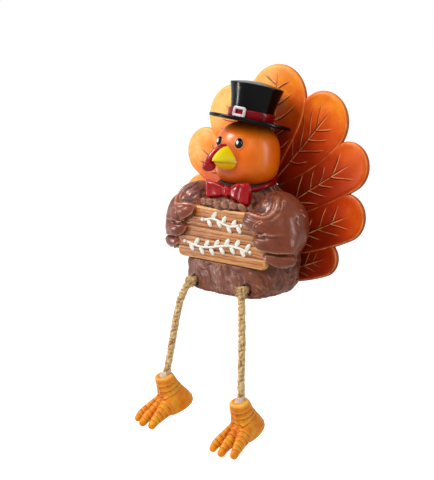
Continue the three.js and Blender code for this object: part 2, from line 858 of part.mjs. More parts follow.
// Where each toe starts and bends under the ankle, and its half sizes there, as shares
const toeRootShares = { across: 0.25, up: 1.5, width: 0.9, height: 1.4 };
const toeBendShares = { across: 0.55, forward: 0.45, up: 1.05, width: 0.88, height: 1.05 };

// A foot under its ankle pivot: an ankle that widens back into the heel, and three toes on the same sole
function footSolid() {
  const rim = ankleRadius - ankleEdge;
  const rings = [ovalRing(-clearance, rim, rim, rim, 2, 20)];
  for (const [down, wide, back] of footSectionShares) {
    const halfWidth = THREE.MathUtils.lerp(ankleRadius, footHalfWidth, wide);
    const heel = THREE.MathUtils.lerp(ankleRadius, heelReach, back);
    rings.push(ovalRing(-clearance - (footHeight - clearance) * down, halfWidth, ankleRadius, heel, footSquareness, 20));
  }
  let made = solid(skin(rings.reverse()));
  const root = toeRootShares;
  const bend = toeBendShares;
  const bendHeight = toeRootRadius * bend.up - footHeight;
  for (const spread of [-1, 0, 1]) {
    const reach = toeReach - (Math.abs(spread) * toeTipRadius) / 2;
    const toe = limb({
      spine: [
        new THREE.Vector3(spread * footHalfWidth * root.across, 0, toeRootRadius * root.up - footHeight),
        new THREE.Vector3(spread * toeSpread * bend.across, -toeReach * bend.forward, bendHeight),
        new THREE.Vector3(spread * toeSpread, toeTipRadius - reach, toeTipRadius - footHeight),
      ],
      widths: [toeRootRadius * root.width, toeRootRadius * bend.width, toeTipRadius],
      heights: [toeRootRadius * root.height, toeRootRadius * bend.height, toeTipRadius],
      across: sideways,
      steps: 5,
      sides: 10,
    });
    made = made.add(solid(toe));
  }
  made = made.translate([0, -ankleForward, 0]);
  return made.subtract(solid(ellipsoid(beadRadius, beadRadius, beadRadius, clearance, 12, 8)));
}

const boreMatrix = (side) => new THREE.Matrix4().makeTranslation((side * legSpacing) / 2, -ropePlace, hipHeight);

// A round bar along the bore, from in front of the body to a depth inside it
function boreBar(radius, front, back) {
  const bar = new THREE.CylinderGeometry(radius, radius, back - front, 16);
  return bar.translate(0, (back + front) / 2, 0);
}

const boreEnd = ropePlace - bodyFront + boreDepth;

function legSolids(side) {
  const ball = (grow) => solid(ellipsoid(knotRadius, knotRadius, knotRadius, grow, 14, 10), boreMatrix(side));
  const bore = solid(boreBar(boreRadius, -overrun, boreEnd), boreMatrix(side));
  const plug = solid(boreBar(boreRadius - clearance, 0, boreEnd - clearance), boreMatrix(side));
  return { ball: ball(0), ballGap: ball(clearance), bore, plug: plug.subtract(ball(clearance)) };
}

// Assembly

const turkey = new THREE.Group();
turkey.name = "turkey";
turkey.add(fan, hat, face);

let torso = solid(torsoForm())
  .subtract(solid(boardForm(clearance)))
  .subtract(headGapInPart)
  .subtract(fanFront(partFrame));

for (const [name, side] of [["left", 1], ["right", -1]]) {
  const { ball, ballGap, bore, plug } = legSolids(side);
  torso = torso.subtract(bore).subtract(ballGap);
  turkey.add(piece(`${name}_rope_plug`, plug, jute));
  turkey.add(piece(`${name}_rope_knot`, ball, jute));
  turkey.add(piece(`${name}_wing`, wing(side), wingResin));
  turkey.add(piece(`bow_${name}_loop`, bowLoopSolid(side), redGloss));

  const leg = new THREE.Group();
  leg.applyMatrix4(boreMatrix(side));
  leg.rotation.y = side < 0 ? radians(rightLegSplay) : 0;
  leg.add(piece(`${name}_leg_rope`, solid(ropeTube()), jute));

  const ankle = new THREE.Group();
  ankle.position.z = -legLength;
  ankle.rotation.y = -leg.rotation.y;
  ankle.add(piece(`${name}_ankle_bead`, solid(ellipsoid(beadRadius, beadRadius, beadRadius, 0, 12, 8)), jute));

  const foot = new THREE.Group();
  foot.rotation.set(radians(footPitch), 0, side * radians(side < 0 ? rightToeOut : leftToeOut), "ZYX");
  foot.add(piece(`${name}_foot`, footSolid(), footResin));
  ankle.add(foot);
  leg.add(ankle);
  turkey.add(leg);
}

const neckBand = piece("neck_band", band, redGloss);
neckBand.applyMatrix4(bandFrame);
turkey.add(neckBand);
turkey.add(piece("torso", torso, brownResin));
turkey.add(piece("sign_board", solid(boardForm()), boardResin));
turkey.add(piece("bow_knot", knot, redGloss));

export default turkey;
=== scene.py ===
import json
import math

import bpy
import numpy as np
from mathutils import Matrix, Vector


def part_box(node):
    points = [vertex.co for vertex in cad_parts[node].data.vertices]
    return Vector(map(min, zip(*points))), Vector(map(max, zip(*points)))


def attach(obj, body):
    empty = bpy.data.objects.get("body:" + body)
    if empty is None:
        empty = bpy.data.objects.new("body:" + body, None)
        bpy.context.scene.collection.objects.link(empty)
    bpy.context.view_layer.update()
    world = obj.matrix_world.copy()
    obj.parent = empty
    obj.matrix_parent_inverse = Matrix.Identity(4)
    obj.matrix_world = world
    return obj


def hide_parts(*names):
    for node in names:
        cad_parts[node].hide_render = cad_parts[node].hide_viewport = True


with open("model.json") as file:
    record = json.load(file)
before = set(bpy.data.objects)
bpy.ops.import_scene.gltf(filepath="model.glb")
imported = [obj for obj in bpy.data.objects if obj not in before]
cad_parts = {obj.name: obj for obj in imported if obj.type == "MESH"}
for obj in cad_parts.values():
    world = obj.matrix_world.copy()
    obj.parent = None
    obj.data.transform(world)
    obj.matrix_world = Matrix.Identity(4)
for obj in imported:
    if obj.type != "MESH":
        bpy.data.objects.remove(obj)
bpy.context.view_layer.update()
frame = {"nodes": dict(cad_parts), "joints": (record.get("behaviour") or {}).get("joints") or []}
joints = {joint["name"]: joint for joint in frame["joints"]}
MM = 0.001
SIDES = ("left", "right")

# Camera, fitted to the eyes, the board's corners, the hat brim, the feather tips and the base

PICTURE = (434, 480)
CAMERA_AZIMUTH = 42.077
CAMERA_ELEVATION = 11.34
CAMERA_DISTANCE = 638.8
FOCAL_PIXELS = 1335.0
SENSOR_WIDTH = 36.0
AIM_POINT = np.array([0.0, 0.0, 24.0])
AIM_PIXEL = (246.17, 238.20)


def camera_axes():
    """The camera's right, forward and up directions."""
    turn, rise = math.radians(CAMERA_AZIMUTH), math.radians(CAMERA_ELEVATION)
    right = np.array([math.cos(turn), math.sin(turn), 0.0])
    forward = np.array([-math.sin(turn) * math.cos(rise), math.cos(turn) * math.cos(rise), -math.sin(rise)])
    return right, forward, np.cross(right, forward)


def new_object(name, data):
    made = bpy.data.objects.new(name, data)
    bpy.context.scene.collection.objects.link(made)
    return made


def placed_at(right, up, back, place):
    """The matrix of an object with these axes, at a place in metres."""
    made = np.eye(4)
    made[:3] = np.stack([right, up, back, place], 1)
    return Matrix(made.tolist())


def add_camera():
    right, forward, up = camera_axes()
    data = bpy.data.cameras.new("camera")
    data.sensor_fit = "HORIZONTAL"
    data.sensor_width = SENSOR_WIDTH
    data.lens = FOCAL_PIXELS * SENSOR_WIDTH / PICTURE[0]
    data.clip_start = 0.01
    data.clip_end = 20
    across = (AIM_PIXEL[0] - PICTURE[0] / 2) * CAMERA_DISTANCE / FOCAL_PIXELS
    above = (AIM_PIXEL[1] - PICTURE[1] / 2) * CAMERA_DISTANCE / FOCAL_PIXELS
    place = AIM_POINT - right * across + up * above - forward * CAMERA_DISTANCE
    camera = new_object("camera", data)
    camera.matrix_world = placed_at(right, up, -forward, place * MM)
    bpy.context.scene.camera = camera


add_camera()

# Numbers and shapes

def vector(*values):
    return np.array(values, float)


def unit(value):
    return value / np.linalg.norm(value)


def bent(function, angle, power):
    """A sine or cosine with its curve made fuller or sharper by a power."""
    value = function(angle)
    return np.sign(value) * np.abs(value) ** power


def bell(value, width):
    """One at zero, falling off smoothly over a width on both sides."""
    return np.exp(-((value / width) ** 2))


def step_up(value, low, high):
    """Zero below low and one above high, with a smooth rise between."""
    share = np.clip((value - low) / (high - low), 0, 1)
    return share * share * (3 - 2 * share)


def noise(points, scale, seed=0, octaves=1):
    """Smooth noise from -1 to 1 at points, with cells of a scale that may differ by axis."""
    total = np.zeros(len(points))
    reach = 0.0
    for octave in range(octaves):
        weight = 0.5 ** octave
        place = points / np.asarray(scale, float) * 2 ** octave + 17.3 * (seed + 1)
        cell = np.floor(place).astype(np.int64)
        part = place - cell
        part = part * part * (3 - 2 * part)
        value = np.zeros(len(points))
        for corner in range(8):
            pick = np.array([corner & 1, corner >> 1 & 1, corner >> 2 & 1])
            key = (cell + pick) @ np.array([374761393, 668265263, 1442695041])
            key = (key ^ (key >> 13)) * 1274126177 & 0x7FFFFFFF
            key ^= key >> 15
            share = np.where(pick, part, 1 - part).prod(1)
            value += share * ((key & 0xFFFF) / 32767.5 - 1)
        total += weight * value
        reach += weight
    return total / reach


def rotation(axis, degrees):
    """A 3 by 3 matrix that turns about the axis x, y or z."""
    turn = math.radians(degrees)
    first, second = {"x": (1, 2), "y": (2, 0), "z": (0, 1)}[axis]
    made = np.eye(3)
    made[first, first] = made[second, second] = math.cos(turn)
    made[first, second], made[second, first] = -math.sin(turn), math.sin(turn)
    return made


def smooth_line(points, count):
    """A Catmull-Rom line through points, as evenly spaced points."""
    points = np.asarray(points, float)
    ends = [2 * points[0] - points[1], *points, 2 * points[-1] - points[-2]]
    t = np.linspace(0, 1, 24, endpoint=False)[:, None]
    fine = [0.5 * (2 * b + (c - a) * t + (2 * a - 5 * b + 4 * c - d) * t ** 2
                   + (3 * b - a - 3 * c + d) * t ** 3)
            for a, b, c, d in zip(ends, ends[1:], ends[2:], ends[3:])]
    fine = np.concatenate([*fine, points[-1:]])
    run = np.concatenate([[0], np.cumsum(np.linalg.norm(np.diff(fine, axis=0), axis=1))])
    even = np.linspace(0, run[-1], count)
    return np.stack([np.interp(even, run, fine[:, axis]) for axis in range(fine.shape[1])], 1)


def along(values, shares):
    """Numbers between the entries of a list, at shares of the way along it."""
    return np.interp(shares, np.linspace(0, 1, len(values)), values)


def line_distance(points, line):
    """How far each point is from a bent line, its share along the line, and the nearest point on it."""
    line = np.asarray(line, float)
    best = np.full(len(points), np.inf)
    share = np.zeros(len(points))
    nearest = np.zeros(points.shape)
    for index, (a, b) in enumerate(zip(line, line[1:])):
        run = b - a
        part = np.clip((points - a) @ run / (run @ run), 0, 1)
        foot = a + part[:, None] * run
        gap = np.linalg.norm(points - foot, axis=1)
        closer = gap < best
        best[closer] = gap[closer]
        share[closer] = (index + part[closer]) / (len(line) - 1)
        nearest[closer] = foot[closer]
    return best, share, nearest


# Meshes as pairs of points and faces. A triangle is a face whose last corner comes twice.

def skin(rings):
    """A closed skin through rings of equally many points, with a fan over each end."""
    rings = np.asarray(rings, float)
    levels, sides = rings.shape[:2]
    here = np.arange((levels - 1) * sides)
    following = here - here % sides + (here + 1) % sides
    walls = np.stack([here, following, following + sides, here + sides], 1)
    first = np.arange(sides)
    second = (first + 1) % sides
    bottom, top = levels * sides, levels * sides + 1
    last = (levels - 1) * sides
    floor = np.stack([np.full(sides, bottom), second, first, first], 1)
    roof = np.stack([np.full(sides, top), last + first, last + second, last + second], 1)
    points = np.concatenate([rings.reshape(-1, 3), [rings[0].mean(0)], [rings[-1].mean(0)]])
    return points, np.concatenate([walls, floor, roof])


def closed_skin(rings):
    """A skin through rings of equally many points that join up again."""
    rings = np.asarray(rings, float)
    sides, total = rings.shape[1], rings.shape[0] * rings.shape[1]
    here = np.arange(total)
    beside = here - here % sides + (here + 1) % sides
    return rings.reshape(-1, 3), np.stack([here, (here + sides) % total, (beside + sides) % total, beside], 1)


def turned(profile, sides):
    """Rings of a profile turned about +z, from pairs of radius and height."""
    turn = np.linspace(0, 2 * np.pi, sides, endpoint=False)
    return np.array([[(r * math.cos(a), r * math.sin(a), z) for r, z in profile] for a in turn])


def lathe(profile, sides):
    """A body turned about +z from pairs of radius and height, lowest first."""
    return skin(turned(profile, sides).swapaxes(0, 1))


def ring_body(profile, sides):
    """A closed ring turned about +z from a closed outline of radius and height, counter-clockwise."""
    return closed_skin(turned(profile, sides))


def ball(center, half_sizes, turn=np.eye(3), sides=32, levels=20):
    """An ellipsoid, turned by a matrix."""
    heights = -np.cos(np.linspace(0, np.pi, levels + 2)[1:-1])
    points, faces = lathe([(math.sqrt(1 - h * h), h) for h in heights], sides)
    return points * half_sizes @ turn.T + center, faces


def directions(line):
    """The unit direction of a line at each of its points."""
    forward = np.gradient(line, axis=0)
    return forward / np.linalg.norm(forward, axis=1)[:, None]


def limb(spine, widths, heights, across, steps=28, sides=24, round_start=False):
    """A tapering limb with a round end, from half widths and half heights along a smooth spine."""
    line = smooth_line(spine, steps)
    shares = np.linspace(0, 1, steps)
    forward = directions(line)
    wide, high = along(widths, shares), along(heights, shares)
    angle = np.linspace(0, 2 * np.pi, sides, endpoint=False)
    frames = list(zip(line, forward, wide, high))
    caps = np.linspace(0, np.pi / 2, 9)[1:-1]

    def cap(end, way):
        middle, ahead, half_width, half_height = frames[end]
        return [(middle + way * ahead * half_height * math.sin(a), ahead, half_width * math.cos(a),
                 half_height * math.cos(a)) for a in caps]

    starts = cap(0, -1)[::-1] if round_start else []
    rings = []
    for middle, ahead, half_width, half_height in starts + frames + cap(-1, 1):
        up = unit(np.cross(ahead, across))
        side = unit(np.cross(up, ahead))
        rings.append(middle + np.outer(np.cos(angle) * half_width, side)
                     + np.outer(np.sin(angle) * half_height, up))
    return skin(rings)


def carried_frames(line, near):
    """Two directions across a line at each of its points, carried along without twist, and the way ahead."""
    forward = directions(line)
    side = unit(np.cross(forward[0], near))
    sides = []
    for ahead in forward:
        side = unit(side - ahead * (side @ ahead))
        sides.append(side)
    return np.array(sides), np.cross(forward, sides), forward


def tube(line, radii, sides=8):
    """A round tube along points."""
    line = np.asarray(line, float)
    side, up, _ = carried_frames(line, vector(0.31, 0.87, 0.37))
    radii = np.broadcast_to(np.asarray(radii, float), len(line))
    angle = np.linspace(0, 2 * np.pi, sides, endpoint=False)
    return skin([middle + radius * (np.outer(np.cos(angle), across) + np.outer(np.sin(angle), above))
                 for middle, radius, across, above in zip(line, radii, side, up)])


def joined(parts):
    """Several meshes as one."""
    starts = np.cumsum([0] + [len(points) for points, _ in parts])
    return (np.concatenate([points for points, _ in parts]),
            np.concatenate([faces + start for (_, faces), start in zip(parts, starts)]))


def moved(part, turn, shift):
    """The same mesh turned by a matrix and then shifted."""
    return part[0] @ turn.T + shift, part[1]


def flipped_faces(faces):
    """The same faces seen from the other side, with the doubled corner of a triangle kept last."""
    triangle = faces[:, 2] == faces[:, 3]
    flipped = faces[:, ::-1].copy()
    flipped[triangle] = faces[triangle][:, [1, 0, 2, 3]]
    return flipped


def face_lists(faces):
    return [face if face[2] != face[3] else face[:3] for face in faces.tolist()]


def normals_of(part):
    points, faces = part
    cross = np.cross(points[faces[:, 2]] - points[faces[:, 0]], points[faces[:, 3]] - points[faces[:, 1]])
    total = np.zeros(points.shape)
    for axis in range(3):
        for corner in range(4):
            total[:, axis] += np.bincount(faces[:, corner], cross[:, axis], len(points))
    return total / np.maximum(np.linalg.norm(total, axis=1), 1e-12)[:, None]


def pushed(part, depth):
    """The same mesh with its points moved out along their normals."""
    return part[0] + normals_of(part) * depth[:, None], part[1]


def uneven(part, depth, scale, seed=0, octaves=1):
    """The same mesh with the soft unevenness of a noise."""
    return pushed(part, depth * noise(part[0], scale, seed, octaves))


def fused(parts, voxel, relax):
    """One closed skin round overlapping closed parts."""
    points, faces = joined(parts)
    mesh = bpy.data.meshes.new("fusing")
    mesh.from_pydata(points.tolist(), [], face_lists(faces))
    work = new_object("fusing", mesh)
    remesh = work.modifiers.new("remesh", "REMESH")
    remesh.mode = "VOXEL"
    remesh.voxel_size = voxel
    soften = work.modifiers.new("soften", "SMOOTH")
    soften.factor = 0.5
    soften.iterations = relax
    done = work.evaluated_get(bpy.context.evaluated_depsgraph_get()).to_mesh()
    made = np.empty(len(done.vertices) * 3)
    done.vertices.foreach_get("co", made)
    loops = np.empty(len(done.loops), np.int64)
    done.loops.foreach_get("vertex_index", loops)
    work.to_mesh_clear()
    bpy.data.objects.remove(work)
    bpy.data.meshes.remove(mesh)
    return made.reshape(-1, 3), loops.reshape(-1, 4)


def relaxed(part, amount, rounds):
    """The same mesh with points drawn towards their neighbours, by an amount per point."""
    points, faces = part
    edges = np.concatenate([faces[:, pair] for pair in ([0, 1], [1, 2], [2, 3], [3, 0])])
    edges = edges[edges[:, 0] != edges[:, 1]]
    count = np.maximum(np.bincount(edges[:, 0], minlength=len(points)), 1)
    for _ in range(rounds):
        mean = [np.bincount(edges[:, 0], points[edges[:, 1], axis], len(points)) / count for axis in range(3)]
        points = points + amount[:, None] * (np.stack(mean, 1) - points)
    return points, faces


def crease_distance(points, line, count):
    """The same as line_distance, from a smooth line on the surface points nearest to a line of places."""
    places = [points[np.argmin(np.linalg.norm(points - place, axis=1))] for place in line]
    return line_distance(points, smooth_line(places, count))


def outside(points, middle, half_sizes, turn):
    """Roughly how far points lie outside a turned ellipsoid."""
    local = (points - middle) @ turn
    reach = np.linalg.norm(local, axis=1)
    size = np.maximum(np.linalg.norm(local / half_sizes, axis=1), 1e-6)
    return reach - reach / size


def cad_form(node):
    """The points and faces of a CAD node, as triangles."""
    mesh = frame["nodes"][node].data
    mesh.calc_loop_triangles()
    points = np.array([corner.co for corner in mesh.vertices], float) / MM
    corners = np.array([triangle.vertices for triangle in mesh.loop_triangles])
    keys, kept, back = np.unique(np.round(points, 4), axis=0, return_index=True, return_inverse=True)
    corners = back.reshape(-1)[corners]
    return points[kept], np.concatenate([corners, corners[:, 2:]], 1)


def add_piece(name, part, body, paint, replaces=(), marks=None):
    """A smooth mesh object that rides on a body, with named numbers per point for its material."""
    points, faces = part
    material, slot = paint
    mesh = bpy.data.meshes.new(name)
    mesh.from_pydata((points * MM).tolist(), [], face_lists(faces))
    mesh.polygons.foreach_set("use_smooth", np.ones(len(mesh.polygons), bool))
    for mark, values in (marks or {}).items():
        layer = mesh.attributes.new(mark, "FLOAT", "POINT")
        layer.data.foreach_set("value", np.ascontiguousarray(np.clip(values, 0, 1), np.float32))
    mesh.materials.append(material)
    piece = new_object(name, mesh)
    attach(piece, body)
    if replaces:
        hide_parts(*replaces)
    return piece


def shape_of(node, part, paint, marks=None, body="figure"):
    """The one piece that stands for a node."""
    add_piece(f"{node}_shape", part, body, paint, [node], marks)


def box_of(node):
    """The two corners of a node's box."""
    return [vector(*corner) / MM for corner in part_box(node)]


# Materials

def colour(red, green, blue):
    """A linear colour from the usual 0 to 255 values."""
    shares = [value / 255 for value in (red, green, blue)]
    return tuple(((v + 0.055) / 1.055) ** 2.4 if v > 0.0405 else v / 12.92 for v in shares)


class Nodes:
    """A node tree built up in steps."""

    def __init__(self, tree):
        self.tree = tree

    def link(self, source, target):
        """Feed a socket from another one, or set it to a number or a linear colour."""
        if isinstance(source, tuple):
            target.default_value = (*source, 1)
        elif isinstance(source, (int, float)):
            target.default_value = source
        else:
            self.tree.links.new(source, target)

    def add(self, kind, sources=None, **settings):
        """A new node with its settings, and with sources for its sockets by name or number."""
        node = self.tree.nodes.new(kind)
        for key, value in settings.items():
            setattr(node, key, value)
        for key, source in (sources or {}).items():
            self.link(source, node.inputs[key])
        return node

    def ranged(self, value, low, high, to_low=0.0, to_high=1.0):
        """A number mapped from one range to another and kept inside it."""
        sources = {"Value": value, "From Min": low, "From Max": high, "To Min": to_low, "To Max": to_high}
        return self.add("ShaderNodeMapRange", sources).outputs["Result"]

    def math(self, operation, first, second):
        return self.add("ShaderNodeMath", {0: first, 1: second}, operation=operation).outputs["Value"]

    def times(self, first, second):
        return self.math("MULTIPLY", first, second)

    def minus(self, first, second):
        return self.math("SUBTRACT", first, second)

    def larger(self, first, second):
        return self.math("MAXIMUM", first, second)

    def seen(self):
        """1 for rays from the camera, from gloss and through glass, and 0 for all others."""
        path = self.add("ShaderNodeLightPath").outputs
        seen = self.larger(path["Is Camera Ray"], path["Is Glossy Ray"])
        return self.larger(seen, path["Is Transmission Ray"])


class Finish(Nodes):
    """A procedural material. Its colours have parts from 0 to 255 where nothing else is said."""

    def __init__(self, name):
        self.material = bpy.data.materials.new(name)
        self.material.use_nodes = True
        super().__init__(self.material.node_tree)
        self.shader = self.tree.nodes["Principled BSDF"]
        self.place = self.add("ShaderNodeTexCoord").outputs["Object"]

    def mark(self, name):
        """The number that the mesh carries per point under a name."""
        return self.add("ShaderNodeAttribute", attribute_name=name).outputs["Fac"]

    def noise(self, millimetres, detail, stretch=None, roughness=0.55):
        place = self.place
        if stretch:
            mapping = self.add("ShaderNodeMapping", {"Vector": place})
            mapping.inputs["Scale"].default_value = stretch
            place = mapping.outputs["Vector"]
        sources = {"Vector": place, "Scale": 1 / (millimetres * MM), "Detail": detail, "Roughness": roughness}
        return self.add("ShaderNodeTexNoise", sources).outputs["Fac"]

    def clouds(self, millimetres, detail, low, high, to_low=0.0, to_high=1.0):
        """Noise mapped from one range to another."""
        return self.ranged(self.noise(millimetres, detail), low, high, to_low, to_high)

    def mix(self, share, first, second):
        """One linear colour laid over another by a share. Each of them may be a socket."""
        return self.add("ShaderNodeMix", {0: share, 6: first, 7: second}, data_type="RGBA").outputs[2]

    def laid(self, share, first, *second):
        """A colour laid over another by a share or by a mark. The first may be a colour or a socket."""
        if isinstance(share, str):
            share = self.mark(share)
        if isinstance(first, tuple):
            first = colour(*first)
        return self.mix(share, first, colour(*second))

    def ramp(self, value, *stops):
        """A colour from pairs of place and colour."""
        node = self.add("ShaderNodeValToRGB", {"Fac": value})
        elements = node.color_ramp.elements
        while len(elements) < len(stops):
            elements.new(0.5)
        for element, (place, tint) in zip(elements, stops):
            element.position = place
            element.color = (*colour(*tint), 1)
        return node.outputs["Color"]

    def bump(self, *layers):
        """Bumps from pairs of height and depth in millimetres. A height may be a noise's size and detail."""
        normal = None
        for source, depth in layers:
            if isinstance(source, tuple):
                source = self.noise(*source)
            node = self.add("ShaderNodeBump", {"Strength": 1, "Distance": depth * MM, "Height": source})
            if normal is not None:
                self.link(normal, node.inputs["Normal"])
            normal = node.outputs["Normal"]
        self.link(normal, self.shader.inputs["Normal"])

    def done(self, slot, base, roughness, specular, coat=0.0, coat_roughness=0.2):
        """The finished material, with the slot that its pieces belong to."""
        settings = {"Base Color": base, "Roughness": roughness, "Specular IOR Level": specular,
                    "Coat Weight": coat, "Coat Roughness": coat_roughness}
        for name, source in settings.items():
            self.link(source, self.shader.inputs[name])
        return self.material, slot


def painted(name, slot, base, shade, rub_and_highlight_tint, roughness, coat=0.05, mottle=0.35, mottle_size=6.0):
    """Painted resin: a mottled coat, painted shade in the hollows that is partly a dark wash, and painted
    highlights on the raised edges that are partly rubbed paint.
    """
    finish = Finish(name)
    tint = finish.laid(finish.times(finish.clouds(mottle_size, 4, 0.35, 0.7), mottle), base, *shade)
    # Painted shade in the hollows, partly a dark wash
    tint = finish.laid("hollow", tint, *shade)
    # Painted highlights on the raised edges, partly rubbed paint
    rubbed_and_lit = finish.times(finish.mark("edge"), finish.clouds(1.1, 3, 0.42, 0.62, 0.45, 1.0))
    tint = finish.laid(rubbed_and_lit, tint, *rub_and_highlight_tint)
    rough = finish.clouds(2.5, 4, 0.3, 0.7, roughness - 0.07, roughness + 0.1)
    rough = finish.larger(rough, finish.times(finish.mark("hollow"), 0.85))
    finish.bump(((3.2, 3), 0.1), ((0.5, 2), 0.02))
    return finish.done(slot, tint, rough, 0.16, coat)


# How the marks for engraved lines are packed into numbers from 0 to 1
RIB_RANGE = 40.0
VEIN_PITCH = 6.0
VEIN_RANGE = 60.0


def fan_finish():
    """The tail's paint: dark red at the roots and orange at the tips, much paler on the plates at one side as
    a painted sheen, with fine engraved veins that carry a painted highlight on one lip.
    """
    finish = Finish("fan_paint")
    wander = finish.times(finish.minus(finish.noise(9, 4), 0.5), 0.34)
    tone = finish.math("ADD", finish.mark("tone"), wander)
    tint = finish.ramp(tone, (0.0, (112, 20, 4)), (0.24, (156, 38, 4)), (0.44, (192, 58, 4)),
                       (0.64, (226, 92, 8)), (0.8, (252, 142, 24)), (1.0, (255, 200, 108)))
    tint = finish.laid(finish.times(finish.clouds(1.6, 3, 0.35, 0.75), 0.16), tint, 136, 30, 6)
    rib = finish.times(finish.minus(finish.mark("rib"), 0.5), RIB_RANGE)
    vein = finish.times(finish.mark("vein"), VEIN_RANGE)
    lines = []
    for shift, width in ((0.0, 0.45), (0.5, 0.36)):
        across = finish.math("ABSOLUTE", finish.minus(rib, shift), 0.0)
        beside = finish.math("PINGPONG", finish.minus(vein, shift * 1.3), VEIN_PITCH / 2)
        rib_line = finish.times(finish.ranged(across, 0.08, width, 1.0, 0.0), finish.mark("rib_fade"))
        vein_line = finish.times(finish.ranged(beside, 0.05, width, 1.0, 0.0), finish.mark("vein_fade"))
        lines.append(finish.larger(rib_line, vein_line))
    groove, burr_and_highlight = lines
    # A painted highlight on the lip beside each engraved line
    tint = finish.laid(finish.times(burr_and_highlight, finish.clouds(8, 2, 0.38, 0.58, 0.3, 0.95)), tint, 252, 164, 96)
    tint = finish.laid(finish.times(groove, finish.clouds(6, 2, 0.35, 0.55, 0.5, 0.95)), tint, 104, 20, 4)
    # Painted shade along the plates' outlines and painted highlights on their rounded rims
    tint = finish.laid("hollow", tint, 110, 26, 8)
    rubbed_and_lit = finish.times(finish.mark("edge"), finish.clouds(5, 3, 0.35, 0.65, 0.2, 1.0))
    tint = finish.laid(rubbed_and_lit, tint, 250, 160, 78)
    finish.bump(((4.0, 3), 0.16), ((0.6, 2), 0.03), (finish.minus(finish.times(burr_and_highlight, 0.35), groove), 0.35))
    return finish.done("fan_orange", tint, finish.clouds(2.5, 4, 0.3, 0.7, 0.34, 0.5), 0.12)


def board_finish():
    """Painted planks: ochre with brown grain along the boards."""
    finish = Finish("board_paint")
    grain = finish.noise(1.5, 5, stretch=(0.09, 1, 1), roughness=0.65)
    broad = finish.noise(9, 3, stretch=(0.35, 1, 1))
    tint = finish.ramp(finish.ranged(broad, 0.3, 0.7), (0.0, (150, 78, 18)), (0.5, (184, 106, 32)),
                       (1.0, (208, 136, 56)))
    tint = finish.laid(finish.ranged(grain, 0.52, 0.72, 0.0, 0.6), tint, 126, 66, 18)
    tint = finish.laid("hollow", tint, 98, 48, 16)
    # Lighter on the lips, beside the grain and round the border: painted highlights
    tint = finish.laid("edge", tint, 232, 176, 108)
    finish.bump((grain, 0.18))
    return finish.done("board_ochre", tint, 0.42, 0.22)


def gloss_finish(name, slot, base, deep, roughness, wave, specular, coat=0.0):
    """Thick gloss paint, with painted shade in the folds."""
    finish = Finish(name)
    tint = finish.laid(finish.clouds(4, 3, 0.35, 0.7, 0.0, 0.5), base, *deep)
    tint = finish.laid("hollow", tint, *deep)
    rough = finish.clouds(1.5, 3, 0.3, 0.7, roughness - 0.05, roughness + 0.12)
    finish.bump(((2.6, 2), wave), ((0.7, 2), wave * 0.3))
    return finish.done(slot, tint, rough, specular, coat, 0.08)


def eye_finish():
    """Glossy black with a small painted glint."""
    finish = Finish("eye_gloss")
    return finish.done("eye_black", finish.laid("glint", (4, 4, 5), 252, 248, 240), 0.1, 0.2)


def jute_finish():
    """Natural fibre: straw and brown hairs along the strands."""
    finish = Finish("jute")
    hairs = finish.noise(0.8, 5, stretch=(1, 1, 0.22), roughness=0.75)
    tint = finish.ramp(finish.ranged(hairs, 0.34, 0.66), (0.0, (116, 68, 28)), (0.3, (220, 172, 108)),
                       (0.55, (240, 204, 142)), (1.0, (254, 236, 192)))
    tint = finish.laid(finish.clouds(3, 3, 0.45, 0.75, 0.0, 0.5), tint, 216, 174, 118)
    # Painted shade between the strands and in the hole
    tint = finish.laid("hollow", tint, 112, 72, 36)
    finish.bump((hairs, 0.4))
    finish.shader.inputs["Sheen Weight"].default_value = 0.25
    return finish.done("jute_rope", tint, 0.88, 0.15)


def foot_finish():
    """Yellow orange feet with brown rings, painted shade between the toes and painted highlights on the lips
    of the rings and round the top.
    """
    finish = Finish("foot_paint")
    tint = finish.laid(finish.clouds(5, 4, 0.32, 0.7), (250, 168, 30), 232, 116, 14)
    tint = finish.laid("blush_and_shade", tint, 190, 66, 6)
    tint = finish.laid("hollow", tint, 70, 26, 2)
    tint = finish.laid(finish.times(finish.mark("edge"), 0.7), tint, 252, 206, 106)
    finish.bump(((2.4, 3), 0.1), ((0.5, 2), 0.03))
    return finish.done("foot_orange", tint, finish.clouds(2.0, 4, 0.3, 0.7, 0.34, 0.5), 0.1)


def head_finish():
    """Warm orange head, a little redder low on the cheeks and darker towards the bottom, with painted shadow
    under the hat and painted shade round the beak and the eyes.
    """
    finish = Finish("head_paint")
    tint = finish.laid(finish.clouds(8, 3, 0.35, 0.7), (252, 128, 14), 242, 106, 8)
    tint = finish.laid("blush_and_shade", tint, 226, 98, 26)
    tint = finish.laid("hollow", tint, 150, 52, 8)
    finish.bump(((5, 2), 0.12), ((0.7, 2), 0.02))
    return finish.done("head_orange", tint, finish.clouds(2.5, 3, 0.3, 0.7, 0.28, 0.38), 0.2, 0.05)


BROWN = painted("body_paint", "torso_brown", (126, 68, 46), (44, 21, 14), (206, 148, 116), 0.46)
WING_BROWN = painted("wing_paint", "wing_brown", (138, 68, 42), (46, 20, 12), (228, 164, 132), 0.27,
                     mottle=0.4, mottle_size=9.0)
FAN = fan_finish()
BOARD = board_finish()
WHITE = painted("relief_paint", "board_ochre", (240, 236, 226), (206, 190, 166), (250, 250, 246), 0.45)
RED = gloss_finish("red_gloss", "gloss_red", (178, 2, 12), (92, 1, 8), roughness=0.12, wave=0.02,
                   specular=0.2)
DARK_RED = gloss_finish("band_gloss", "gloss_red", (150, 5, 20), (80, 2, 10), roughness=0.18, wave=0.06,
                        specular=0.1, coat=0.05)
BLACK = gloss_finish("hat_gloss", "hat_black", (3, 3, 4), (2, 2, 2), roughness=0.14, wave=0.04, specular=0.09)
EYE = eye_finish()
SILVER = painted("buckle_paint", "buckle_silver", (226, 212, 216), (128, 110, 116), (250, 246, 248), 0.3,
                 coat=0.5)
HEAD = head_finish()
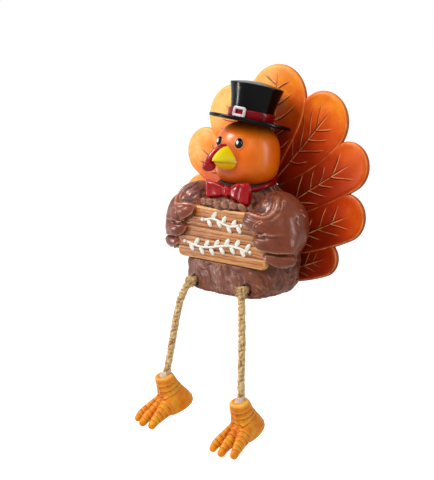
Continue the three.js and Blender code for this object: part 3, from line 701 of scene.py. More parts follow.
EYE_RIM = painted("eye_rim_paint", "head_orange", (236, 176, 128), (150, 84, 50), (250, 214, 180), 0.35)
UPPER_BEAK = painted("upper_beak_paint", "beak_yellow", (244, 216, 6), (164, 132, 6), (252, 236, 80), 0.3,
                     mottle=0.2)
LOWER_BEAK = painted("lower_beak_paint", "beak_yellow", (255, 198, 12), (196, 128, 8), (255, 224, 80), 0.3,
                     mottle=0.2)
JUTE = jute_finish()
GLUE = painted("glue", "jute_rope", (222, 200, 184), (168, 128, 96), (244, 236, 228), 0.5)
FOOT = foot_finish()

# Legs: a three-strand rope from the body to each foot, with its frayed ends

HIP_SWING = {side: vector(*joints[f"{side}_hip_swing"]["pos_m"]) / MM for side in SIDES}
ANKLE_SWING = {side: vector(*joints[f"{side}_ankle_swing"]["pos_m"]) / MM for side in SIDES}
ROPE_DIAMETER = 3.5
STRAND_RADIUS = 0.98
STRAND_OFFSET = 0.84
STRAND_PITCH = 11.5
ROPE_POINTS = 21
# The rope inside its hole, from the pivot at the hole's mouth: how high its glued end is, two places on the
# way out, and its length
ROOT_RISE = 0.5
ROOT_BENDS = [(0, 3, 0.35), (0, 0.4, 0)]
ROOT_LENGTH = 12.0
# The frayed bulge at the mouth: its core, how many fibres lie round it, how far out, and how thick they are
BULGE_HALF_SIZES = (2.05, 2.0, 2.1)
BULGE_FIBRES = 46
BULGE_RADII = (2.0, 2.5)
BULGE_THICKNESS = (0.14, 0.24)
# Loose fibres: how many, how far they reach, lean along the rope and stand off it, and their thickness
FUZZ = {
    "short": (150, 1.6, 1.4, 0.75, 0.055),
    "long": (190, 2.6, 1.8, 0.12, 0.09),
    "bulge": (150, 2.6, 1.1, 0.75, 0.08),
    "glue": (60, 2.0, 0.9, 0.75, 0.055),
}
# The left side's seeds. The right side's are one higher.
SEEDS = {"short": 5, "long": 7, "arcs": 21, "bulge": 31, "glue": 41, "bow": 13}
# A direction off the ropes that the frames round them start from
ROPE_FRAME_NEAR = vector(0, 1, 0.2)
# How far the ropes bow aside from a straight line, across and forward, at shares of the way down
ROPE_BOWS = {
    "left": [(0, 0, 0), (0.25, 0.5, -0.4), (0.5, 0.6, -0.4), (0.8, 0.1, -0.3), (1, 0, 0)],
    "right": [(0, 0, 0), (0.12, -2.0, -0.6), (0.3, -2.4, -0.8), (0.6, -1.3, -0.5), (0.85, -0.3, -0.2),
              (1, 0, 0)],
}


def strands(line, length, taper=(1.0, 1.0)):
    """Three strands laid round a line."""
    side, up, _ = carried_frames(line, ROPE_FRAME_NEAR)
    shares = np.linspace(0, 1, len(line))
    run = length * shares
    parts = []
    for strand in range(3):
        loose_twist = 0.09 * np.sin(run * 0.83) + 0.06 * np.sin(run * 2.3 + 2 * strand)
        turn = 2 * np.pi * (run / STRAND_PITCH + loose_twist + strand / 3)
        middle = line + STRAND_OFFSET * (np.cos(turn)[:, None] * side + np.sin(turn)[:, None] * up)
        wobble = 1 + 0.12 * noise(middle, 2.2, 3 + strand, 2)
        parts.append(tube(middle, STRAND_RADIUS * wobble * along(taper, shares), 14))
    return joined(parts)


def seed_of(kind, side):
    return SEEDS[kind] + SIDES.index(side)


def hairs(line, kind, side):
    """Loose fibres of a kind that stand off a rope."""
    count, reach, spread, lift, thickness = FUZZ[kind]
    draw = np.random.RandomState(seed_of(kind, side))
    aside, up, forward = carried_frames(line, ROPE_FRAME_NEAR)
    parts = []
    for _ in range(count):
        at = draw.randint(1, len(line) - 1)
        turn = draw.uniform(0, 2 * np.pi)
        out = math.cos(turn) * aside[at] + math.sin(turn) * up[at]
        lean = forward[at] * draw.uniform(-1, 1) * spread
        start = line[at] + out * ROPE_DIAMETER * 0.4
        size = draw.uniform(0.5, 1) * reach
        middle = start + (out * lift * 0.6 + lean * 0.4) * size
        end = start + (out * lift * draw.uniform(0.7, 1.3) + lean + draw.normal(0, 0.25, 3)) * size
        thins = along([thickness, thickness * 0.5], np.linspace(0, 1, 5))
        parts.append(tube(smooth_line([start, middle, end], 5), thins, 3))
    return joined(parts)


def rope(side):
    top, bottom = HIP_SWING[side], ANKLE_SWING[side]
    route = smooth_line([top + (bottom - top) * share + vector(across, forward, 0)
                         for share, across, forward in ROPE_BOWS[side]], ROPE_POINTS)
    length = np.linalg.norm(np.diff(route, axis=0), axis=1).sum()
    fine = smooth_line(route, 150)
    part = strands(fine, length)
    # Painted shade between the strands
    hollow = 0.9 * (1 - step_up(line_distance(part[0], route)[0], 1.05, 1.66))
    leg = add_piece(f"{side}_rope", part, f"{side}_leg", JUTE, [f"{side}_leg_rope"], {"hollow": hollow})
    loose = joined([hairs(fine, "short", side), hairs(fine, "long", side)])
    fuzz = add_piece(f"{side}_rope_fibres", loose, f"{side}_leg", JUTE)


for side_name in SIDES:
    rope(side_name)


def rope_end(side):
    """The rope out of its hole, fixed in the body, and the frayed bulge that turns with the leg."""
    pivot = HIP_SWING[side]
    back = box_of(f"{side}_rope_plug")[1][1] - pivot[1]
    route = smooth_line(pivot + [(0, back, ROOT_RISE), *ROOT_BENDS], 30)
    stub = strands(route, ROOT_LENGTH, (0.95, 0.85))
    # Painted shade on the rope deeper in its hole
    add_piece(f"{side}_rope_root", stub, "figure", JUTE, [f"{side}_rope_plug"],
              {"hollow": step_up(stub[0][:, 1], pivot[1] + 1.0, pivot[1] + 4.0)})
    draw = np.random.RandomState(seed_of("arcs", side))
    parts = [ball(pivot, BULGE_HALF_SIZES, sides=24, levels=14)]
    for _ in range(BULGE_FIBRES):
        axis = unit(draw.normal(0, 1, 3))
        start = unit(np.cross(axis, draw.normal(0, 1, 3)))
        other = np.cross(axis, start)
        sweep = np.linspace(0, draw.uniform(1.2, 2.4), 10)
        radius = draw.uniform(*BULGE_RADII)
        arc = pivot + radius * (np.outer(np.cos(sweep), start) + np.outer(np.sin(sweep), other))
        parts.append(tube(arc, draw.uniform(*BULGE_THICKNESS), 5))
    bulge = joined(parts)
    # Painted shade on the bulge's core under its fibres
    depth_in = np.linalg.norm(bulge[0] - pivot, axis=1)
    add_piece(f"{side}_rope_bulge", bulge, f"{side}_hip", JUTE, [f"{side}_rope_knot"],
              {"hollow": 0.6 * (1 - step_up(depth_in, 2.05, 2.25))})
    down = unit(ANKLE_SWING[side] - pivot)
    line = smooth_line([pivot - down * 1.5, pivot + down * 3], 12)
    add_piece(f"{side}_rope_tuft", hairs(line, "bulge", side), f"{side}_hip", JUTE)


# Feet, in their own frame under the ankle pivot, standing on their soles before they are turned

FOOT_PITCH = 14.0
TOE_OUT = {"left": 1.0, "right": -12.0}
FOOT_HEIGHT = 20.6
ANKLE_FORWARD = 1.6
# Depth as a share of the foot's height, half width, and how far the front and the back reach
FOOT_SECTIONS = [
    (0.0, 3.9, 3.9, 3.9), (0.03, 4.6, 4.6, 4.6), (0.08, 4.95, 4.95, 5.0), (0.24, 5.05, 4.8, 6.1),
    (0.42, 5.4, 4.8, 8.2), (0.6, 6.1, 5.2, 10.6), (0.76, 6.5, 5.6, 12.4), (0.88, 6.4, 5.6, 12.7),
    (0.96, 5.4, 4.8, 11.6), (1.0, 4.2, 3.8, 9.8),
]
FOOT_SIDES = 48
# Each toe: its root and its tip across, how far it reaches, its tip's half width and its root's fullness
TOES = [(-2.8, -6.9, 17.6, 1.75, 1.0), (0.0, -0.3, 19.3, 1.85, 1.0), (4.2, 6.6, 18.4, 1.95, 1.3)]
# A toe's half widths and half heights from its root on, up to those of its tip
TOE_HALF_WIDTHS = [3.2, 2.75, 2.3]
TOE_HALF_HEIGHTS = [5.6, 4.3, 3.1]
TOE_RING_SHARES = [0.38, 0.52, 0.66, 0.79, 0.9]
ANKLE_RINGS = [-4.4, -7.0, -9.6]
# The glue in the top of a foot: each lump's middle from the pivot, and its half sizes
GLUE_LUMPS = [((0, 0, -0.4), (2.5, 2.5, 1.9)), ((0.3, -2.0, -1.0), (2.3, 2.0, 1.3)),
              ((-1.4, 0.8, -0.8), (1.6, 1.6, 1.3))]


def toe_spine(root, tip, reach, half_width, _):
    return np.array([
        (root * 0.6, 0.5, 6.5), ((root + tip) * 0.44, -reach * 0.42, 4.7),
        (root + (tip - root) * 0.85, -reach * 0.74, 3.3), (tip, half_width - reach, half_width - 0.1),
    ]) - vector(0, 0, FOOT_HEIGHT)


def foot(side):
    angle = np.linspace(0, 2 * np.pi, FOOT_SIDES, endpoint=False)
    columns = list(zip(*FOOT_SECTIONS))
    rings = []
    for share in np.linspace(0, 1, 40)[::-1]:
        half, front, back = (np.interp(share, columns[0], column) for column in columns[1:])
        reach = np.where(np.sin(angle) > 0, back, front)
        rings.append(np.stack([half * bent(np.cos, angle, 0.9), reach * bent(np.sin, angle, 0.9),
                               np.full(FOOT_SIDES, -FOOT_HEIGHT * share - 0.2)], 1))
    parts = [skin(rings)]
    for toe in TOES:
        tip_half, full = toe[3:]
        root, knuckle, middle = TOE_HALF_WIDTHS
        widths = [root * full, knuckle * full, middle, tip_half]
        heights = [*TOE_HALF_HEIGHTS, tip_half]
        parts.append(limb(toe_spine(*toe), widths, heights, vector(1, 0, 0)))
    part = fused(parts, voxel=0.34, relax=4)
    points = part[0]
    x, y, z = points.T
    distances = [line_distance(points, smooth_line(toe_spine(*toe), 24)) for toe in TOES]
    gaps = np.array([distance[0] for distance in distances])
    hollow, edge = np.zeros((2, len(points)))
    low = step_up(-y, 2.0, 5.0) * step_up(z + FOOT_HEIGHT, 0.5, 1.8)
    # Brown rings round the toes, each with a painted highlight on its lip
    for toe, (_, share, _) in enumerate(distances):
        own = (gaps.argmin(0) == toe) * low
        broken = 0.45 + 0.45 * step_up(noise(points, 1.8, 60 + toe), -0.4, 0.3)
        for ring in TOE_RING_SHARES:
            along_toe = (share - ring - 0.015 * noise(points, 2.5, toe)) * TOES[toe][2]
            hollow = np.maximum(hollow, own * broken * bell(along_toe, 0.14))
            edge = np.maximum(edge, own * bell(along_toe + 0.7, 0.4) * 0.35)
    high = 1 - step_up(-y - z * 0.15, 8.0, 9.5)
    broken = 0.5 + 0.4 * step_up(noise(points, 3.0, 62), -0.4, 0.3)
    # Brown rings round the ankle, each with a painted highlight on the lip above it
    for ring in ANKLE_RINGS:
        level = z - ring - 0.16 * y - 0.35 * noise(points, 5, 9)
        hollow = np.maximum(hollow, high * bell(level, 0.14) * broken)
        edge = np.maximum(edge, high * bell(level - 0.8, 0.5) * 0.5)
    nearest, second = np.sort(gaps, 0)[:2]
    cleft = low * bell(second - nearest, 0.6)
    # A painted highlight round the top of the foot
    edge = np.maximum(edge, 0.8 * bell(z + 0.6, 0.9) * (np.hypot(x, y) > 3.6))
    part = pushed(part, -0.25 * hollow + 0.1 * edge + 0.12 * noise(points, 3.0, 4, 2) - 0.7 * cleft)
    turn = rotation("z", TOE_OUT[side]) @ rotation("x", FOOT_PITCH)
    shape = moved((part[0] - vector(0, ANKLE_FORWARD, 0), part[1]), turn, ANKLE_SWING[side])
    shape[0][:, 2] = np.maximum(shape[0][:, 2], box_of(f"{side}_foot")[0][2])
    # Painted shade between the toes: darker and redder there
    hollow = np.maximum(hollow, 0.3 * cleft * step_up(-y, 6, 9))
    marks = {"hollow": hollow, "edge": edge, "blush_and_shade": 0.35 * low * bell(second - nearest, 1.6)}
    shape_of(f"{side}_foot", shape, FOOT, marks, f"{side}_foot")


def glued_end(side):
    """The glue and the frayed rope end in the top of a foot."""
    pivot = ANKLE_SWING[side]
    lumps = [ball(pivot + middle, half_sizes) for middle, half_sizes in GLUE_LUMPS]
    part = fused(lumps, voxel=0.3, relax=3)
    relief = noise(part[0], 1.1, 2, 2)
    # Painted shade in the glue's hollows
    add_piece(f"{side}_rope_glue", pushed(part, 0.18 * relief), f"{side}_ankle", GLUE, [f"{side}_ankle_bead"],
              {"hollow": 0.6 * step_up(-relief, 0.0, 0.6)})
    up = unit(HIP_SWING[side] - pivot)
    line = smooth_line([pivot - up * 0.5, pivot + up * 3], 12)
    add_piece(f"{side}_glue_fibres", hairs(line, "glue", side), f"{side}_ankle", JUTE)


# Tail fan, in the plane of its plates: x across, y up, z towards the viewer

FAN_PLACE = 9.8
FAN_LEAN = 7.1
FAN_TURN = rotation("x", 90 - FAN_LEAN)
FAN_HUB_HEIGHT = 34.0
FAN_LOWEST = 0.3
PLATE_THICKNESS = 3.2
PLATE_STEP = 0.6
# The right plates lie this much behind the left ones, so that no two faces lie on each other
SIDE_STEP = 0.06
CENTER_ROOT_HALF_WIDTH = 3.0
# The middle plate swells later than the others
CENTER_SWELL_POWER = 1.8
PAIR_ROOT_HALF_WIDTH = 4.5
PAIR_ROOT_REACH = 5.0
# Root height, angle from upright, length and half width, from the middle outwards
PLATES = [(46.0, 0.0, 60.7, 18.0), (47.5, 40.3, 58.2, 15.2), (32.0, 56.7, 65.15, 11.9),
          (15.5, 63.8, 61.76, 11.4), (3.6, 68.5, 45.6, 8.7)]
FRONT_RIM = 2.4
BACK_RIM = 1.2
# The side veins leave the midrib at even shares of the length, and lean further forward towards the tip
FIRST_VEIN_SHARE = 0.2
VEIN_SHARE_STEP = 0.125
# Forward lean of the veins below and above the midrib, for each plate from the middle outwards
VEIN_LEANS = [(0.42, 0.42), (0.85, 1.1), (1.15, 0.75), (1.3, 0.65), (1.2, 0.7)]
VEIN_REACH_SHARE = 0.82
# Where the pairs of veins end on each plate, counted in pairs, and how far past them the midrib runs
VEIN_PAIRS = [5.5, 4.9, 4.9, 4.9, 4.9]
RIB_PAST_PAIRS = 0.45
# The scales of the rump: width, height, and the radius that their widths are measured at
SCALE_WIDTH = 7.5
SCALE_HEIGHT = 5.0
SCALE_RADIUS = 19.0


def rim_round(inward, reach):
    """How full a rounded rim is at distances in from the outline."""
    return np.sqrt(1 - (1 - np.clip(inward / reach, 0, 1)) ** 2)


def plate_marks(flat, index, seed):
    """The midrib and the side veins as smooth numbers, which the material draws as fine engraved lines."""
    _, _, length, half_width = PLATES[index]
    below, above = VEIN_LEANS[index]
    pairs = VEIN_PAIRS[index]
    run, out, _ = flat.T
    share = run / length
    rib = out - 0.5 * math.sin(seed * 2.3) * np.sin(np.pi * np.clip(share, 0, 1))
    lean = (above + (below - above) * step_up(rib, -0.5, 0.5)) * (0.8 + 0.4 * share)
    start = run - np.abs(rib) * lean - 0.02 * rib ** 2
    stagger = 0.3 * step_up(rib, -0.8, 0.8)
    phase = (start / length - FIRST_VEIN_SHARE) / VEIN_SHARE_STEP + stagger + 0.14 * noise(flat, 7, seed)
    reach = half_width * VEIN_REACH_SHARE * (0.82 + 0.18 * np.sin(phase * 2.1 + seed)) * (1.1 - 0.35 * share)
    vein_fade = step_up(phase, 0.4, 0.6) * step_up(pairs - phase, 0, 0.3)
    rib_end = FIRST_VEIN_SHARE + VEIN_SHARE_STEP * (pairs + RIB_PAST_PAIRS)
    return {"rib": 0.5 + rib / RIB_RANGE, "vein": phase * VEIN_PITCH / VEIN_RANGE,
            "vein_fade": vein_fade * step_up(1 - np.abs(rib) / reach, 0.0, 0.22),
            "rib_fade": step_up(share, 0.05, 0.14) * step_up(rib_end - share, 0, 0.1)}


def plate(index, hand):
    root, angle, length, half_width = PLATES[index]
    start = PAIR_ROOT_REACH if index else 0.0
    lower_root = PAIR_ROOT_HALF_WIDTH if index else CENTER_ROOT_HALF_WIDTH
    upper_root = half_width if index else CENTER_ROOT_HALF_WIDTH
    straight = length - half_width
    turn = np.concatenate([np.linspace(-np.pi / 2, np.pi / 2, 84, endpoint=False),
                           np.linspace(np.pi / 2, 1.5 * np.pi, 30, endpoint=False)])
    across, facing = np.sin(turn), np.cos(turn) > -1e-9
    rings = []
    for share in np.linspace(0, 1, 70, endpoint=False):
        swell = math.sin(share * math.pi / 2) ** (1 if index else CENTER_SWELL_POWER)
        lower = lower_root + (half_width - lower_root) * swell
        upper = upper_root + (half_width - upper_root) * swell
        wide = np.where(across > 0, lower, upper)
        rings.append((start + (straight - start) * share, wide, wide * (1 - np.abs(across))))
    for arc in np.linspace(0, np.pi / 2, 34, endpoint=False):
        run, wide = straight + half_width * math.sin(arc), np.full(len(turn), half_width * math.cos(arc))
        rings.append((run, wide, half_width - np.hypot(run - straight, wide * across)))
    half = PLATE_THICKNESS / 2
    made = []
    for run, wide, inward in rings:
        face = np.where(facing, half * rim_round(inward, FRONT_RIM), -half * rim_round(inward, BACK_RIM))
        made.append(np.stack([np.full(len(turn), run), wide * across, face - half], 1))
    points, faces = skin(made)
    inward = np.concatenate([ring[2] for ring in rings] + [[0, 0]])
    front = np.concatenate([np.tile(facing, len(rings)), [False, True]]) * 1.0
    flat = points * vector(1, 1, 0)
    run, out, _ = flat.T
    # The face is dished a little inside its rim and rises softly to the midrib
    relief = -0.22 * step_up(inward, 1.2, 5.0) + 0.35 * bell(out, 3.0) + 0.2 * noise(flat, 7.0, index, 2)
    points[:, 2] += front * relief * step_up(inward, 0, 2.0)
    slant = math.radians(angle)
    x = run * math.sin(slant) + out * math.cos(slant)
    y = root + run * math.cos(slant) - out * math.sin(slant)
    # Darker at the roots, low down and along the lower midrib, lighter at the tips and the top; the plates at
    # -x are painted much paler, a painted sheen of the lamps on that side
    tone = 0.04 + 0.5 * step_up(np.hypot(x, y - FAN_HUB_HEIGHT), 14, 62)
    tone += 0.2 * step_up(run / length, 0.6, 1.0) + 0.22 * step_up(y, 55, 100)
    tone += 0.42 * step_up(-hand * x, -24, 38) - 0.1 * step_up(50 - y, 0, 45)
    tone -= 0.12 * bell(out / half_width, 0.3) * step_up(0.8 - run / length, 0, 0.5)
    depth = index * PLATE_STEP + (SIDE_STEP if hand < 0 else 0)
    placed = np.stack([hand * x, y, points[:, 2] - depth], 1) @ FAN_TURN.T + vector(0, FAN_PLACE, 0)
    placed[:, 2] = np.maximum(placed[:, 2], FAN_LOWEST)
    marks = plate_marks(flat, index, 2 * index + (hand > 0))
    marks["vein_fade"] *= front
    marks["rib_fade"] *= front
    # Painted shade along each plate's outline and a painted highlight on its rounded rim
    marks.update(tone=0.8 * tone, hollow=0.5 * bell(inward, 0.3),
                 edge=bell(inward - 0.55, 0.3) * front * (0.3 + 0.5 * step_up(run / length, 0.2, 0.6)))
    name = f"tail_feather_{'left' if hand > 0 else 'right'}_{index}" if index else "tail_feather_center"
    shape_of(name, (placed, flipped_faces(faces) if hand > 0 else faces), FAN, marks)


def fan_front(points):
    """How far back the front of the fan lies at the heights of points."""
    return FAN_PLACE + points[:, 2] * math.tan(math.radians(FAN_LEAN))


def overlapping_scales(around, up, seed):
    """Rows of rounded scales: 1 at a scale's lower lip and 0 where the one above begins, and its rim."""
    best, rim = np.zeros((2, len(up)))
    for shift in (0, 1, 2):
        level = np.floor(up / SCALE_HEIGHT) + shift
        key = np.sin(level * 12.9898 + seed) * 43758.5453
        offset = (level % 2) * 0.5 + (key - np.floor(key)) * 0.3
        center = (np.round(around / SCALE_WIDTH - offset) + offset) * SCALE_WIDTH
        aside = (around - center) / (SCALE_WIDTH * 0.58)
        body = ((level + 0.75) * SCALE_HEIGHT - up) / (SCALE_HEIGHT * 1.35)
        inside = 1 - np.sqrt(aside ** 2 + np.clip(body, 0, None) ** 2)
        lift = np.clip(inside, 0, 1) ** 0.5 * (0.35 + 0.65 * np.clip(body, 0, 1))
        rim = np.where(lift > best, bell(inside - 0.12, 0.12), rim)
        best = np.maximum(best, lift)
    return best, rim


def tail_cover():
    """The rump: a dome of overlapping short feathers behind the fan."""
    low, high = box_of("tail_cover")
    middle = vector(0, low[1], (low[2] + high[2]) / 2)
    part = ball(middle, (high - low) * vector(0.5, 1, 0.5) - vector(0.6, 0.9, 0.6), sides=160, levels=110)
    points = part[0]
    points[:, 1] = np.maximum(points[:, 1], fan_front(points) + PLATE_THICKNESS - 1)
    around = np.arctan2(points[:, 0], points[:, 1] - middle[1]) * SCALE_RADIUS
    lift, rim = overlapping_scales(around, points[:, 2], 2.0)
    # Painted highlights on the scale rims, lighter on the raised lips, and painted shade where each scale
    # tucks under the next
    shape_of("tail_cover", pushed(part, 0.75 * lift - 0.1), FAN,
             {"edge": 0.5 * rim, "hollow": 0.6 * step_up(0.25 - lift, 0, 0.25), "tone": 0.2 + 0.28 * lift})


# Body

# The scallops over the top of the board: how many, their spacing, the middle one's place and their half sizes
SCALLOP_COUNT = 6
SCALLOP_SPACING = 4.7
SCALLOP_PLACE = vector(0, -18.3, 42.4)
SCALLOP_HALF_SIZES = vector(2.5, 1.0, 2.5)
SCALLOP_LEAN = 24.0
CHEST_LOW = 37.0
BASE_HIGH = 17.5
COLLAR_LOW = 47.4
SEAT_REACH = 0.8


def body():
    """The torso with its carved feathers, and the scallops that lap over the top of the board."""
    scallops = []
    for column in range(SCALLOP_COUNT):
        across = (column - (SCALLOP_COUNT - 1) / 2) * SCALLOP_SPACING
        middle = SCALLOP_PLACE + vector(across, 0.012 * across ** 2, 0.3 * math.sin(column * 2.1))
        scallops.append((middle, SCALLOP_HALF_SIZES, rotation("x", SCALLOP_LEAN)))
    lumps = [ball(*scallop, sides=24, levels=16) for scallop in scallops]
    part = fused([cad_form("torso"), *lumps], voxel=0.42, relax=2)
    points = part[0]
    x, y, z = points.T
    wall = 1 - step_up(np.abs(normals_of(part)[:, 2]), 0.85, 0.98)
    gaps = np.array([outside(points, *scallop) for scallop in scallops])
    away, second = np.sort(gaps, 0)[:2]
    drop = np.array([scallop[0][2] for scallop in scallops])[gaps.argmin(0)] - z
    on_scallop = step_up(0.35 - away, 0, 0.3)
    split = bell(second - away, 0.35) * (away < 0.5)
    # Brushed feather strokes: long soft ridges that lean and break up
    leaned = points @ rotation("y", 40).T
    strokes = noise(leaned + 2.2 * noise(points, 6, 21)[:, None], (2.0, 2.6, 6.5), 22, 2)
    fine = noise(leaned + 1.2 * noise(points, 4, 31)[:, None], (1.2, 1.6, 4.0), 23, 2)
    base = step_up(BASE_HIGH - z, 0, 4) * wall
    chest = step_up(z, CHEST_LOW, CHEST_LOW + 4) * wall * (1 - on_scallop)
    # The neck under the head gets painted shade
    collar = step_up(z, COLLAR_LOW, COLLAR_LOW + 1.6) * (y < 0)
    broken = step_up(noise(points, 4, 41), -0.3, 0.3)
    ridge = bell(strokes - 0.1, 0.07) * broken
    fine_ridge = bell(fine - 0.12, 0.1) * broken
    depth = base * (0.75 * strokes + 0.4 * ridge) + chest * (0.55 * fine + 0.25 * fine_ridge)
    depth += 0.16 * noise(points, 4.0, 3, 2) - 0.35 * bell(away - 0.6, 0.4) - 0.4 * split
    # Painted highlights on the stroke ridges and the scallops
    edge = np.maximum(0.6 * base * ridge + 0.6 * chest * fine_ridge,
                      on_scallop * (1 - split) * (0.5 + 0.5 * step_up(drop, 0.3, 1.5)))
    mouths = np.min([np.hypot(x - HIP_SWING[side][0], z - HIP_SWING[side][2]) for side in SIDES], 0)
    # Painted shade in the strokes, round and between the scallops, on the neck under the head and round the
    # rope holes
    hollow = np.maximum.reduce([
        0.35 * base * step_up(-strokes, 0.05, 0.4) + 0.7 * chest * step_up(-fine, 0.0, 0.35),
        0.9 * bell(away - 0.6, 0.45) * (y < -10), 0.85 * split, 0.95 * collar,
        0.35 * step_up(-y, 8, 12) * bell(np.maximum(mouths - 2.5, 0), 0.5),
    ])
    shape = pushed(part, depth)
    seat = z < SEAT_REACH
    shape[0][seat, 2] = np.maximum(shape[0][seat, 2], 0.0)
    marks = {"edge": edge * (1 - collar), "hollow": hollow}
    add_piece("body_shape", shape, "figure", BROWN, ["torso"], marks)


# Wings, shaped for the left side and mirrored for the right

# The shoulder, and the fullness in front of it that the finger feathers grow from: middle and half sizes
SHOULDERS = [((25.0, -5.6, 33.4), (14.3, 13.4, 16.6)), ((30.2, -9.4, 31.4), (9.4, 11.2, 13.6))]
# Each finger: its middle, half sizes and how far its tip leans up
FINGERS = [
    ((27.4, -14.9, 35.7), (13.4, 6.7, 5.0), 13.0),
    ((30.4, -14.9, 27.5), (10.6, 6.4, 4.7), 9.0),
    ((32.4, -13.7, 21.0), (8.2, 5.7, 4.2), 8.0),
]
FINGER_TURN = 24.0
# The raised rim along the top of the first finger and up over the shoulder
WING_RIM = [(14.9, -18.8, 41.4), (19.9, -20.2, 40.2), (25.0, -19.8, 39.1), (28.6, -18.0, 39.6),
            (30.4, -14.9, 43.4), (27.6, -9.4, 48.9)]
# The lower edge of each finger, from its tip on round the side
SIDE_CREASES = [
    [(15.6, -19.4, 38.6), (18.3, -20.4, 35.6), (22.0, -20.9, 32.6), (25.7, -21.0, 31.7), (31.0, -19.5, 31.2),
     (37.4, -13.0, 31.8)],
    [(20.6, -19.0, 28.8), (22.0, -19.8, 26.2), (24.7, -20.0, 24.6), (28.0, -20.0, 23.5), (34.0, -17.0, 23.2),
     (38.8, -10.0, 24.6), (39.0, -2.0, 28.0)],
    [(25.6, -17.6, 21.6), (28.0, -18.2, 20.0), (32.0, -16.4, 18.8), (35.8, -12.5, 19.6), (38.3, -8.0, 21.8),
     (38.8, 0.0, 25.0)],
]
# Short carved ticks on the shoulder and the first finger
TICKS = [
    [(31.6, -10.6, 46.4), (32.8, -12.0, 44.2), (32.4, -13.0, 42.6)],
    [(26.4, -20.6, 37.4), (24.4, -21.0, 36.4), (23.4, -21.0, 35.0)],
    [(38.4, -8.6, 40.0), (38.4, -10.0, 38.2), (39.2, -9.0, 36.6)],
    [(37.2, -4.0, 42.4), (38.0, -4.6, 40.8), (38.6, -3.4, 39.4)],
]


def wing(side):
    forms = [(*shoulder, np.eye(3)) for shoulder in SHOULDERS]
    forms += [(middle, half_sizes, rotation("z", FINGER_TURN) @ rotation("y", lean))
              for middle, half_sizes, lean in FINGERS]
    part = fused([ball(*form, sides=48, levels=32) for form in forms], voxel=0.4, relax=2)
    x, _, z = part[0].T
    gaps = np.stack([outside(part[0], *form) for form in forms])
    gaps = np.concatenate([gaps[:2].min(0)[None], gaps[2:]])
    nearest, second = np.sort(gaps, 0)[:2]
    from_shoulder = np.argsort(gaps, 0)[:2].min(0) == 0
    # The fingers grow out of the shoulder on the outer side, and stand free of it by the chest
    high = step_up(z + 0.3 * x, 46.5, 48.5)
    outer = np.maximum(step_up(x, 28.5, 33.0), high * step_up(x, 20.0, 24.0))
    part = relaxed(part, 0.9 * outer * from_shoulder * bell(second - nearest, 3.5), 90)
    points = part[0]
    x, y, z = points.T
    groove = np.where(from_shoulder, (1 - outer) * 0.8, 1.0) * bell(second - nearest, 0.35)
    depth = 0.24 * noise(points, 5.0, 6, 2) - 0.2 * groove
    # Painted shade in the grooves, creases, strokes and ticks, and painted highlights on the lips above them
    # and along the rim
    hollow, edge = 0.5 * groove, np.zeros(len(points))
    for line in SIDE_CREASES:
        gap, share, nearest = crease_distance(points, smooth_line(line, 8), 30)
        above = z > nearest[:, 2]
        strength = step_up(1 - share, 0, 0.6) * (0.5 + 0.5 * step_up(share, 0, 0.1))
        crease = strength * bell(gap, np.where(above, 0.42, 0.9))
        depth += 0.4 * strength * bell(gap - 1.0, 0.6) * above - 0.7 * crease
        hollow = np.maximum(hollow, 0.95 * crease)
        edge = np.maximum(edge, 0.85 * strength * bell(gap - 0.95, 0.4) * above)
    gap, share, _ = crease_distance(points, WING_RIM, 40)
    end = step_up(1 - share, 0, 0.15)
    rim = bell(gap, 0.95) * end
    depth += 0.75 * rim - 0.4 * bell(gap - 1.9, 0.7)
    edge = np.maximum(edge, 0.85 * bell(gap, 0.6) * end)
    # Brushed strokes on the inner side of the rim
    inner = step_up(z, 39.5, 42) * step_up(29.0 - x, 0, 4) * step_up(-y, 6, 10) * (1 - rim)
    strokes = noise(points @ rotation("y", 24).T, (1.5, 2.0, 4.5), 27, 2)
    depth += 0.4 * inner * strokes
    hollow = np.maximum(hollow, 0.8 * inner * step_up(-strokes, -0.1, 0.35))
    for tick in TICKS:
        gap, _, nearest = crease_distance(points, tick, 10)
        depth -= 0.4 * bell(gap, 0.35)
        hollow = np.maximum(hollow, 0.75 * bell(gap, 0.33))
        edge = np.maximum(edge, 0.7 * bell(gap - 0.7, 0.3) * (z > nearest[:, 2]))
    points, faces = pushed(part, depth)
    points[:, 1] = np.minimum(points[:, 1], fan_front(points))
    if side == "right":
        points, faces = points * vector(-1, 1, 1), flipped_faces(faces)
    shape_of(f"{side}_wing", (points, faces), WING_BROWN, {"hollow": hollow, "edge": edge})


# Board

BOARD_FRONT = -18.5
PLANK_SHARES = [0.2, 0.41, 0.6, 0.8]
GRAIN_SPACING = 1.55
# Each sprig: its left and right end, its height, how far it sways, its number of leaves and their length
SPRIGS = [(-10.0, 11.5, 34.2, 1.2, 7, 4.3), (-21.5, 17.0, 22.4, -1.4, 12, 4.6)]
STEM_POINTS = 26
STEM_RADIUS = 0.6
BERRY_HALF_SIZES = (0.95, 0.6, 0.95)
BERRY_GAP = 1.4
LEAF_LEAN = 52


